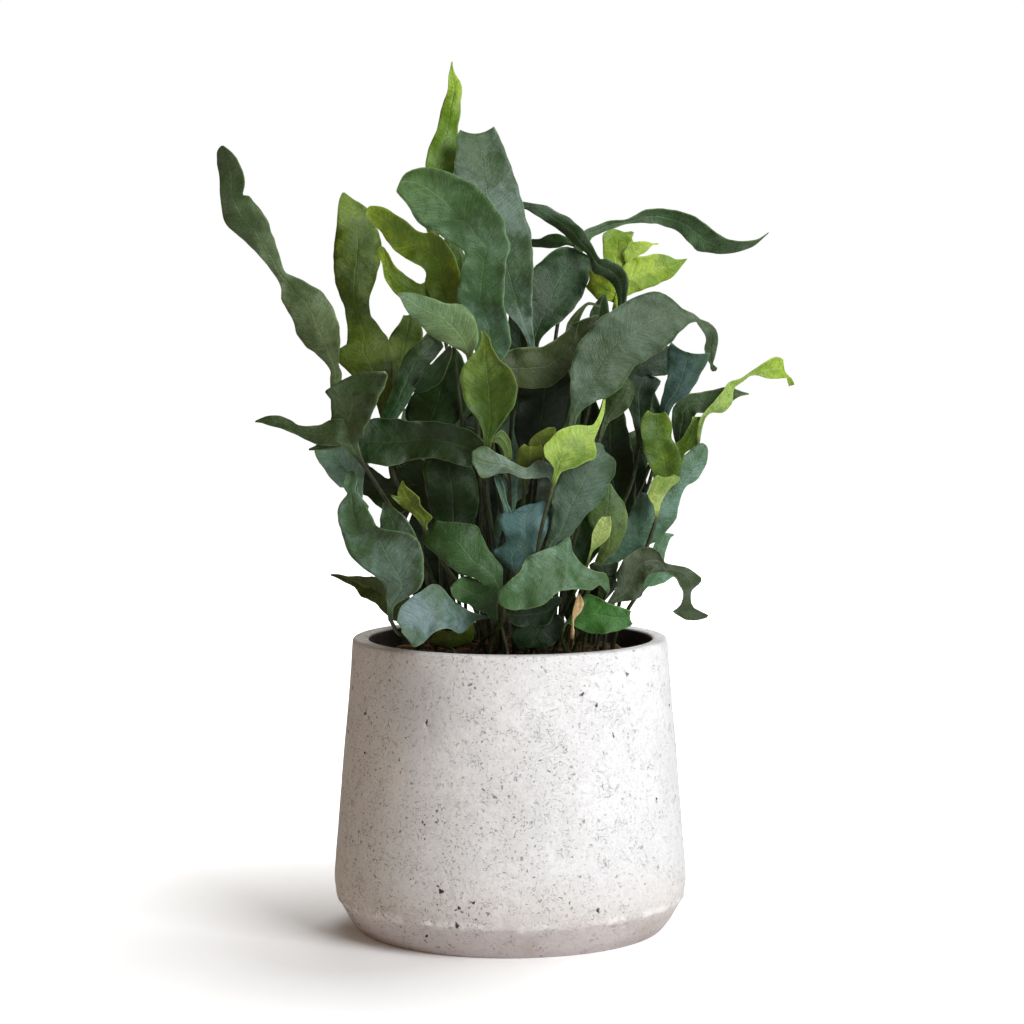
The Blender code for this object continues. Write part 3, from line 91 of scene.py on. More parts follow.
class Shade:
    """The nodes of one material, or of the room."""

    def __init__(self, name, kind=bpy.data.materials):
        self.owner = kind.new(name)
        self.owner.use_nodes = True
        self.tree = self.owner.node_tree
        self.tree.nodes.clear()

    def node(self, kind, settings=None, given=None):
        made = self.tree.nodes.new(kind)
        for key, value in (settings or {}).items():
            setattr(made, key, value)
        for key, value in (given or {}).items():
            socket = made.inputs[key]
            if isinstance(value, Term):
                self.tree.links.new(value.socket, socket)
            elif hasattr(value, "links"):
                self.tree.links.new(value, socket)
            else:
                socket.default_value = value
        return made

    def term(self, kind, settings=None, given=None, output=0):
        return Term(self, self.node(kind, settings, given).outputs[output])

    def step(self, value, low, high):
        """0 below low and 1 above high, with a smooth rise between them."""
        return self.term("ShaderNodeMapRange", {"interpolation_type": "SMOOTHSTEP"},
                         {"Value": value, "From Min": low, "From Max": high})

    def mix(self, share, first, second, blend="MIX"):
        settings = {"data_type": "RGBA", "blend_type": blend}
        return self.node("ShaderNodeMix", settings, {0: share, 6: first, 7: second}).outputs[2]

    def noise(self, place, scale, detail=3.0, roughness=0.55, distortion=0.0):
        return self.term("ShaderNodeTexNoise", None, {"Vector": place, "Scale": scale, "Detail": detail,
                                                       "Roughness": roughness, "Distortion": distortion})

    def place(self, stretch=(1, 1, 1)):
        spot = self.node("ShaderNodeTexCoord").outputs["Object"]
        if stretch == (1, 1, 1):
            return spot
        return self.node("ShaderNodeVectorMath", {"operation": "MULTIPLY"}, {0: spot, 1: stretch}).outputs[0]

    def finish(self, colour, roughness, bumps=(), **more):
        """The surface: a Principled shader, with (height, millimetres) bumps on one another."""
        normal = None
        for height, depth in bumps:
            given = {"Height": height, "Strength": 1.0, "Distance": depth / 1000}
            if normal is not None:
                given["Normal"] = normal
            normal = self.node("ShaderNodeBump", None, given).outputs[0]
        given = {"Base Color": colour, "Roughness": roughness, "Metallic": 0.0,
                 **{key.replace("_", " "): value for key, value in more.items()}}
        if normal is not None:
            given["Normal"] = normal
        surface = self.node("ShaderNodeBsdfPrincipled", None, given)
        self.node("ShaderNodeOutputMaterial", None, {"Surface": surface.outputs[0]})
        return self.owner


CARD_SIZE = 14.0                      # metres from its middle to an edge
# Painted shadow: the card's glow is weakest beside the pot's foot, which paints a soft shadow there.
CARD_PAINTED_SHADOW_SPOT = (-0.075, -0.055, 0)   # beside the pot's foot, where the glow is weakest
CARD_PAINTED_SHADOW_FADE = (0.045, 0.32)             # distances from that spot between which it grows
CARD_GLOW = 0.04                      # its least


def card_material():
    """White card. Only the camera sees its glow, which grows away from the pot to a plain white; weak beside
    the pot's foot, it paints a soft shadow there.
    """
    shade = Shade("white_card")
    mottle = shade.noise(shade.place(), 3.0, 2.0)
    colour = shade.mix(mottle, (0.86, 0.86, 0.86, 1), (0.88, 0.88, 0.88, 1))
    # Painted shadow: the glow is least near the spot beside the pot's foot and grows away from it.
    far = shade.node("ShaderNodeVectorMath", {"operation": "DISTANCE"}, {0: shade.place(), 1: CARD_PAINTED_SHADOW_SPOT})
    share = shade.term("ShaderNodeMapRange", None, {"Value": far.outputs["Value"], "From Min": CARD_PAINTED_SHADOW_FADE[0],
                                                    "From Max": CARD_PAINTED_SHADOW_FADE[1]})
    seen_directly = shade.term("ShaderNodeLightPath")
    glow = shade.mix(share, (CARD_GLOW, CARD_GLOW, CARD_GLOW, 1), (1, 1, 1, 1))
    glow = shade.mix(seen_directly, (0, 0, 0, 1), glow)
    light = shade.node("ShaderNodeEmission", None, {"Color": glow})
    matt = shade.node("ShaderNodeBsdfDiffuse", None, {"Color": colour})
    both = shade.node("ShaderNodeAddShader", None, {0: light.outputs[0], 1: matt.outputs[0]})
    shade.node("ShaderNodeOutputMaterial", None, {"Surface": both.outputs[0]})
    return shade.owner


card_mesh = bpy.data.meshes.new("card")
corners = [(x * CARD_SIZE, y * CARD_SIZE, 0) for x, y in ((-1, -1), (1, -1), (1, 1), (-1, 1))]
card_mesh.from_pydata(corners, [], [(0, 1, 2, 3)])
card_mesh.materials.append(card_material())
card = bpy.data.objects.new("card", card_mesh)
scene.collection.objects.link(card)


def soft_window(name, place, aim_height, size, power, colour=(1, 1, 1)):
    data = bpy.data.lights.new(name, "AREA")
    data.shape, data.size, data.size_y, data.energy, data.color = "RECTANGLE", size, size, power, colour
    made = bpy.data.objects.new(name, data)
    scene.collection.objects.link(made)
    made.location = place
    made.rotation_euler = (Vector((0, 0, aim_height)) - Vector(place)).to_track_quat("-Z", "Y").to_euler()


# place in metres, height aimed at, side in metres, watts, colour
soft_window("window_right", (1.17, -1.17, 1.12), 0.2, 0.95, 37.5, (0.975, 0.985, 1.0))
soft_window("top_card", (0.15, 0.1, 1.8), 0.2, 1.3, 7)
soft_window("warm_bounce", (-1.1, -0.7, 0.5), 0.2, 1.2, 1.8, (1.0, 0.50, 0.16))
soft_window("window_back", (0.2, 1.65, 1.2), 0.2, 1.0, 14)

room = Shade("room", bpy.data.worlds)
dim = room.node("ShaderNodeBackground", None, {"Color": (1.0, 0.83, 0.62, 1), "Strength": 0.046})
plain = room.node("ShaderNodeBackground", None, {"Color": (1, 1, 1, 1)})
seen_by_camera = room.node("ShaderNodeLightPath").outputs["Is Camera Ray"]
choose = room.node("ShaderNodeMixShader", None, {0: seen_by_camera, 1: dim.outputs[0], 2: plain.outputs[0]})
room.node("ShaderNodeOutputWorld", None, {"Surface": choose.outputs[0]})
scene.world = room.owner

# The pot: concrete cast in a turned mould and washed thinly with white. The wash leaves the air holes of
# the casting open, wears off the foot, where the bare mauve-brown concrete shows, and is brushed round
# the rim. Where the flare turns under to the foot the mould left a ragged ridge with chips out of it.
POT_HEIGHT = 144.0
POT_RIM_RADIUS = 77.9
POT_WALL = 7.8
POT_BELLY_RADIUS = 87.5
POT_FOOT_RADIUS = 76.7
POT_FLOOR = 12.0
POT_SEGMENTS = 384
POT_DENTS = 150
POT_RIDGE = 16.2      # height of the ridge that the mould left above the foot


def even_curve(points, step):
    """A line through the points with a point about every step, corners kept."""
    made = [np.asarray(points[0], float)]
    for start, end in zip(points, points[1:]):
        start, end = np.asarray(start, float), np.asarray(end, float)
        count = max(1, round(float(np.linalg.norm(end - start)) / step))
        made += [start + (end - start) * i / count for i in range(1, count + 1)]
    return np.array(made)


def rounded(points, reach, turns=4):
    """The line with each of its corners cut round, over the given reach."""
    made = [np.asarray(points[0], float)]
    for before, here, after in zip(points, points[1:], points[2:]):
        before, here, after = (np.asarray(p, float) for p in (before, here, after))
        into, out = before - here, after - here
        near = min(reach, 0.45 * np.linalg.norm(into), 0.45 * np.linalg.norm(out))
        start, end = here + into / np.linalg.norm(into) * near, here + out / np.linalg.norm(out) * near
        for t in np.arange(turns + 1) / turns:
            made.append((1 - t) ** 2 * start + 2 * (1 - t) * t * here + t * t * end)
    made.append(np.asarray(points[-1], float))
    return made


def surface_object(name, points, faces, skin, smooth=True):
    """A mesh object from points in millimetres."""
    mesh = bpy.data.meshes.new(name)
    mesh.from_pydata((np.asarray(points, float) / 1000).tolist(), [], [tuple(map(int, f)) for f in faces])
    mesh.materials.append(skin)
    if smooth:
        mesh.shade_smooth()
    made = bpy.data.objects.new(name, mesh)
    scene.collection.objects.link(made)
    return made


def turned_faces(rows, segments, first, last):
    """The faces between rings of points, and the fans that close both ends at two single points."""
    faces = []
    for k in range(rows - 1):
        for i in range(segments):
            j = (i + 1) % segments
            faces.append((k * segments + i, k * segments + j, (k + 1) * segments + j, (k + 1) * segments + i))
    end = (rows - 1) * segments
    for i in range(segments):
        j = (i + 1) % segments
        faces += [(first, j, i), (last, end + i, end + j)]
    return faces


def pot_material():
    """Grey-brown concrete under a thin brushed whitewash with open air holes and fewer grey patches towards
    the right; painted shade at the left, the foot and inside.
    """
    shade = Shade("washed_concrete")
    spot = shade.place()
    parts = shade.node("ShaderNodeSeparateXYZ", None, {0: spot})
    across, ahead, height = (Term(shade, parts.outputs[i]) for i in range(3))
    cloud = shade.noise(spot, 22.0, 4.0, 0.6)
    blotch = shade.noise(spot, 60.0, 5.0, 0.65, 0.4)
    grain = shade.noise(spot, 1100.0, 3.0, 0.7)
    sand = shade.noise(spot, 420.0, 4.0, 0.75)
    brushed = shade.noise(shade.place((1, 1, 14)), 40.0, 4.0, 0.6)
    bent = shade.node("ShaderNodeTexNoise", None, {"Vector": spot, "Scale": 430.0, "Detail": 3.0})
    wander = shade.node("ShaderNodeVectorMath", {"operation": "SCALE"},
                        {0: bent.outputs["Color"], "Scale": 0.0052})
    moved = shade.node("ShaderNodeVectorMath", {"operation": "ADD"}, {0: spot, 1: wander.outputs[0]})

    def holes(scale, size, share, seed):
        """Air holes: some cells of a scatter hold one, of uneven size."""
        shifted = shade.node("ShaderNodeVectorMath", {"operation": "ADD"},
                             {0: moved.outputs[0], 1: (seed, seed, seed)})
        cell = shade.node("ShaderNodeTexVoronoi", {"feature": "F1"},
                          {"Vector": shifted.outputs[0], "Scale": scale})
        drawn = shade.node("ShaderNodeSeparateXYZ", None, {0: cell.outputs["Color"]})
        chance, spread = Term(shade, drawn.outputs[0]), Term(shade, drawn.outputs[1])
        radius = size * (0.55 + 0.9 * spread)
        inside = 1.0 - shade.step(Term(shade, cell.outputs["Distance"]) / radius, 0.55, 1.0)
        return inside * shade.step(chance, 1.0 - share, 1.0 - share + 0.04)

    # Fewer grey patches and specks towards the right.
    cleaner_right = shade.step(across + 0.03 * (cloud - 0.5), -0.005, 0.062)
    patchy = shade.step(blotch, 0.34, 0.6) * (1.0 - 0.6 * cleaner_right)
    specks = holes(720.0, 0.30, 0.70, 0.0) * (0.25 + 0.75 * patchy)
    dots = holes(330.0, 0.23, 0.34, 0.31) * (0.3 + 0.7 * patchy)
    pits = holes(135.0, 0.15, 0.17, 0.77)
    worm = shade.noise(shade.place((1, 1, 1.5)), 170.0, 2.0, 0.5, 0.6)
    worn = shade.step(shade.noise(spot, 95.0, 2.0), 0.5, 0.58)
    scratch = (1.0 - shade.step(abs(worm - 0.5), 0.003, 0.010)) * worn
    foot = 1.0 - shade.step(height + 0.016 * (blotch - 0.5) + 0.008 * (sand - 0.5), 0.0085, 0.0200)
    lip = shade.step(height, 0.0135, 0.0165) * (1.0 - shade.step(height, 0.0175, 0.0205))
    rubbed = shade.step(height, 0.112, 0.138) * shade.step(brushed, 0.45, 0.68)
    radius = (across * across + ahead * ahead).root()
    inside = 1.0 - shade.step(radius + 0.001 * (sand - 0.5), 0.0704, 0.0712)
    # Painted shade: the inner wall below the rim is coloured near black for the shade inside the pot.
    painted_shade_inside = inside * (1.0 - shade.step(height, 0.1425, 0.1438))

    white = shade.mix(shade.step(cloud, 0.3, 0.72), (0.86, 0.857, 0.86, 1), (0.79, 0.786, 0.786, 1))
    white = shade.mix(0.35 * patchy, white, (0.62, 0.61, 0.60, 1))
    white = shade.mix(0.30 * shade.step(sand, 0.42, 0.66), white, (0.55, 0.54, 0.53, 1))
    white = shade.mix(0.35 * rubbed, white, (0.86, 0.85, 0.85, 1))
    off = shade.node("ShaderNodeVectorMath", {"operation": "DISTANCE"}, {0: spot, 1: (-0.047, -0.068, 0.122)})
    smear = 1.0 - shade.step(Term(shade, off.outputs["Value"]) + 0.03 * (blotch - 0.5), 0.006, 0.036)
    white = shade.mix(0.5 * smear, white, (0.46, 0.46, 0.46, 1))
    # Painted shade: the left side, away from the light, is coloured beige-brown.
    painted_shade_left = 1.0 - shade.step(across + 0.05 * (cloud - 0.5), -0.086, -0.030)
    white = shade.mix(0.6 * painted_shade_left, white, (0.56, 0.49, 0.40, 1))
    # Painted shade: the wall is coloured darker and warmer towards the foot, all round.
    low = 1.0 - shade.step(height + 0.02 * (cloud - 0.5), 0.014, 0.046)
    white = shade.mix(0.4 * low, white, (0.62, 0.545, 0.48, 1))
    bare = shade.mix(sand, (0.50, 0.435, 0.42, 1), (0.68, 0.62, 0.615, 1))
    bare = shade.mix(0.5 * shade.step(cloud, 0.5, 0.7), bare, (0.36, 0.29, 0.23, 1))
    colour = shade.mix(0.85 * foot, white, bare)
    colour = shade.mix(0.7 * lip * shade.step(blotch, 0.47, 0.56), colour, (0.86, 0.83, 0.82, 1))
    colour = shade.mix(0.10 * shade.step(grain, 0.5, 0.7), colour, (0.35, 0.34, 0.33, 1))
    colour = shade.mix(0.64 * specks, colour, (0.17, 0.16, 0.15, 1))
    colour = shade.mix(0.78 * dots, colour, (0.09, 0.085, 0.08, 1))
    colour = shade.mix(0.38 * scratch, colour, (0.15, 0.14, 0.13, 1))
    colour = shade.mix(0.95 * pits, colour, (0.02, 0.018, 0.016, 1))
    # The painted shade inside the pot, a near-black brown.
    inside_shade_colour = shade.mix(sand, (0.012, 0.009, 0.006, 1), (0.05, 0.036, 0.025, 1))
    colour = shade.mix(0.95 * painted_shade_inside, colour, inside_shade_colour)
    open_holes = specks * 0.4 + dots * 0.8 + pits * 1.7 + scratch * 0.3
    return shade.finish(colour, 0.82 + 0.14 * (sand - 0.5),
                        [(1.0 - open_holes, 0.6), (sand, 0.42), (blotch, 0.5), (grain, 0.08),
                         (brushed, 0.12)],
                        Specular_IOR_Level=0.25)


def make_pot():
    """The shell, turned from its outline, with an uneven face, dents and a broken ridge above the foot."""
    rim, foot, belly = POT_RIM_RADIUS, POT_FOOT_RADIUS, POT_BELLY_RADIUS
    inner = rim - POT_WALL
    outside = [(0.5, 0), (foot - 0.8, 0), (foot, 0.9), (foot + 3.2, 4.6), (belly - 3.0, 12.6),
               (belly - 1.3, 15.6), (belly - 0.35, 20), (belly, 24.5), (belly - 0.35, 31),
               (belly - 2.1, 55), (rim + 2.6, 110),
               (rim, POT_HEIGHT), (inner, POT_HEIGHT), (inner - 2.5, 60), (inner - 6, POT_FLOOR + 6),
               (inner - 10, POT_FLOOR), (0.5, POT_FLOOR)]
    line = even_curve(rounded(outside, 1.9), 2.0)
    angle = 2 * math.pi * np.arange(POT_SEGMENTS) / POT_SEGMENTS
    around = np.stack([np.cos(angle), np.sin(angle)], -1)
    draw = random.Random(7)
    dents = [(draw.uniform(0, 2 * math.pi), draw.uniform(8, 138), draw.uniform(0.9, 2.0))
             for _ in range(POT_DENTS)]
    points = []
    for index, (radius, height) in enumerate(line):
        on_outside = index < len(line) * 0.6 and radius > 20 and 0.2 < height < POT_HEIGHT - 0.3
        push = np.zeros(POT_SEGMENTS)
        if on_outside:
            for i in range(POT_SEGMENTS):
                spot = Vector((*(around[i] * radius), height)) / 1000
                push[i] = 0.28 * noise.noise(spot * 28) + 0.10 * noise.noise(spot * 190)
                if 11 < height < 21:
                    ragged = max(0.0, noise.noise(spot * 95) + 0.25)
                    ridge = math.exp(-((height - POT_RIDGE) / 1.5) ** 2)
                    chip = max(0.0, noise.noise(spot * 160 + Vector((3, 1, 2))) - 0.28)
                    push[i] += 1.1 * ridge * ragged - 3.4 * chip * math.exp(-((height - 15.5) / 3) ** 2)
            for turn, level, size in dents:
                if abs(level - height) < 2.5:
                    far = np.hypot((np.angle(np.exp(1j * (angle - turn)))) * radius, level - height)
                    push -= 0.55 * size * np.exp(-(far / (0.5 * size)) ** 2)
        ring = around * (radius + push)[:, None]
        points += [(x, y, height) for x, y in ring]
    faces = turned_faces(len(line), POT_SEGMENTS, len(points), len(points) + 1)
    points += [(0, 0, line[0][1]), (0, 0, line[-1][1])]
    made = surface_object("pot_shell", points, faces, pot_material())
    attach(made, "root")
    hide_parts("pot")


make_pot()

# The potting mix: dark moist peat, bark crumbs and coir fibre, filled by hand to a low crown a little
# under the rim. It fills the pot, and the stipes stand in it.
SOIL_CROWN = 141.0
SOIL_EDGE = 132.0
SOIL_RADIUS = 69.0
SOIL_SEGMENTS = 220
SOIL_GAP = 0.35       # between the mix and the wall
FIBRES = 1500
CRUMBS = 620


def soil_height(radius):
    """Height of the mix at a radius: a low crown that falls away to the wall."""
    return SOIL_EDGE + (SOIL_CROWN - SOIL_EDGE) * (1 - (min(radius, SOIL_RADIUS) / SOIL_RADIUS) ** 3)


def soil_material():
    shade = Shade("peat_mix")
    spot = shade.place()
    lumps = shade.noise(spot, 160.0, 5.0, 0.7)
    grit = shade.noise(spot, 620.0, 3.0, 0.7)
    threads = shade.noise(shade.place((1, 0.2, 1)), 520.0, 3.0, 0.6, 1.2)
    colour = shade.mix(shade.step(lumps, 0.35, 0.7), (0.012, 0.007, 0.004, 1), (0.05, 0.026, 0.014, 1))
    colour = shade.mix(0.6 * shade.step(threads, 0.56, 0.7), colour, (0.12, 0.062, 0.03, 1))
    colour = shade.mix(0.4 * shade.step(grit, 0.62, 0.72), colour, (0.09, 0.055, 0.03, 1))
    return shade.finish(colour, 0.93, [(lumps, 1.2), (grit, 0.5)], Specular_IOR_Level=0.2)


def fibre_material():
    shade = Shade("coir_fibre")
    along = shade.noise(shade.place(), 90.0, 3.0)
    colour = shade.mix(shade.step(along, 0.35, 0.65), (0.04, 0.02, 0.01, 1), (0.155, 0.088, 0.044, 1))
    return shade.finish(colour, 0.85, [(along, 0.1)], Specular_IOR_Level=0.2)


def ground(x, y):
    """Height of the lumpy top of the mix at a place."""
    spot = Vector((x, y, 0)) / 1000
    lumpy = 1.7 * noise.noise(spot * 70) + 1.0 * noise.noise(spot * 190) + 0.6 * noise.noise(spot * 420)
    return soil_height(math.hypot(x, y)) + lumpy - 0.2


def make_soil():
    """The body of the mix, shaped to the pot's inside, with a lumpy top."""
    inner = POT_RIM_RADIUS - POT_WALL - SOIL_GAP
    edge = inner - 2.5 * (POT_HEIGHT - 4 - SOIL_EDGE) / (POT_HEIGHT - 64)
    below = [(0.5, POT_FLOOR + 0.5), (inner - 10.4, POT_FLOOR + 0.5), (inner - 6.3, POT_FLOOR + 6.3),
             (inner - 2.7, 60), (edge - 0.4, SOIL_EDGE - 0.8)]
    rings = [(r, z, False) for r, z in below] + [(r, 0, True) for r in np.linspace(edge - 0.8, 1.0, 56)]
    points = []
    for radius, height, open_top in rings:
        for i in range(SOIL_SEGMENTS):
            a = 2 * math.pi * i / SOIL_SEGMENTS
            x, y = radius * math.cos(a), radius * math.sin(a)
            points.append((x, y, ground(x, y) if open_top else height))
    faces = turned_faces(len(rings), SOIL_SEGMENTS, len(points), len(points) + 1)
    points += [(0, 0, below[0][1]), (0, 0, ground(0, 0))]
    made = surface_object("peat", points, faces, soil_material())
    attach(made, "root")
    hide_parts("soil")


make_soil()


def strand(points, radii, sides=3):
    """Points and faces of a thin rod along a line, closed at both ends."""
    points, radii = np.asarray(points, float), np.asarray(radii, float)
    along = np.gradient(points, axis=0)
    along /= np.linalg.norm(along, axis=1)[:, None]
    side = np.cross(along, (0.31, 0.2, 0.93))
    side /= np.linalg.norm(side, axis=1)[:, None]
    up = np.cross(side, along)
    angle = 2 * math.pi * np.arange(sides) / sides
    rings = points[:, None] + radii[:, None, None] * (np.cos(angle)[None, :, None] * side[:, None]
                                                      + np.sin(angle)[None, :, None] * up[:, None])
    faces = []
    for k in range(len(points) - 1):
        for i in range(sides):
            j = (i + 1) % sides
            faces.append((k * sides + i, k * sides + j, (k + 1) * sides + j, (k + 1) * sides + i))
    faces.append(tuple(range(sides))[::-1])
    faces.append(tuple((len(points) - 1) * sides + i for i in range(sides)))
    return rings.reshape(-1, 3), faces


def heap(parts):
    """Many small shapes as the points and faces of one."""
    points, faces, count = [], [], 0
    for p, f in parts:
        points.append(np.asarray(p))
        faces += [tuple(i + count for i in face) for face in f]
        count += len(p)
    return np.concatenate(points), faces


def make_fibres():
    """Loose fibres and bark crumbs, scattered on the mix as one piece."""
    draw = random.Random(5)
    parts = []
    for _ in range(FIBRES):
        radius, turn = 67 * math.sqrt(draw.random()), draw.uniform(0, 2 * math.pi)
        x, y = radius * math.cos(turn), radius * math.sin(turn)
        way, bend, length = draw.uniform(0, 2 * math.pi), draw.uniform(-0.14, 0.14), draw.uniform(3, 12)
        line = []
        for i in range(6):
            line.append((x, y, ground(x, y) + 0.25 + draw.uniform(0, 0.8) * (draw.random() < 0.6)))
            x, y = x + length / 5 * math.cos(way), y + length / 5 * math.sin(way)
            way += bend * length / 3
            if math.hypot(x, y) > 68.4:
                break
        if len(line) > 2:
            thick = draw.uniform(0.1, 0.3)
            parts.append(strand(line, np.full(len(line), thick)))
    crumb = bmesh.new()
    bmesh.ops.create_icosphere(crumb, subdivisions=1, radius=1)
    ball = np.array([v.co[:] for v in crumb.verts])
    sides = [tuple(v.index for v in f.verts) for f in crumb.faces]
    crumb.free()
    for _ in range(CRUMBS):
        radius, turn = 66.5 * math.sqrt(draw.random()), draw.uniform(0, 2 * math.pi)
        x, y, size = radius * math.cos(turn), radius * math.sin(turn), draw.uniform(0.5, 1.7)
        angle, axis = draw.uniform(0, 6), Vector([draw.uniform(-1, 1) for _ in "xyz"])
        spun = ball @ np.array(Matrix.Rotation(angle, 3, axis))
        rough = spun * (1 + 0.25 * np.array([draw.uniform(-1, 1) for _ in spun]))[:, None]
        parts.append((rough * (size, size * 0.7, size * 0.6) + (x, y, ground(x, y) + 0.2 * size), sides))
    points, faces = heap(parts)
    made = surface_object("coir_and_bark", points, faces, fibre_material(), smooth=False)
    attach(made, "root")


make_fibres()

# The fronds: each grew as one piece, a thin wiry stipe and a long leathery blade, waved, with a few blunt
# lobes, a pale raised rib and a thin pale margin. A waxy bloom makes the older ones grey-blue; the young
# ones are bright yellow-green. Each stands in the mix at its own place.
STIPE_RADIUS = 1.1
STIPE_DEPTH = 12.0    # how far it stands in the mix
RING_STEP = 10.0      # between the coarse rings that the blades are bent with
LONGEST_STEP = 20.0   # the same, once rings that add nothing are gone
THINNED_BY = 1.4
SHELL_RADIUS = 120.0  # blades lie round the plant like the staves of a barrel
ROOT_SPACING = 7.0
ROOT_CIRCLE = 57.0
CLEARANCE = 2.6       # between two blades, along the line of sight
CELL = 2.0            # of the grid in which blades that share a line of sight are found
BENDING_ROUNDS = 260


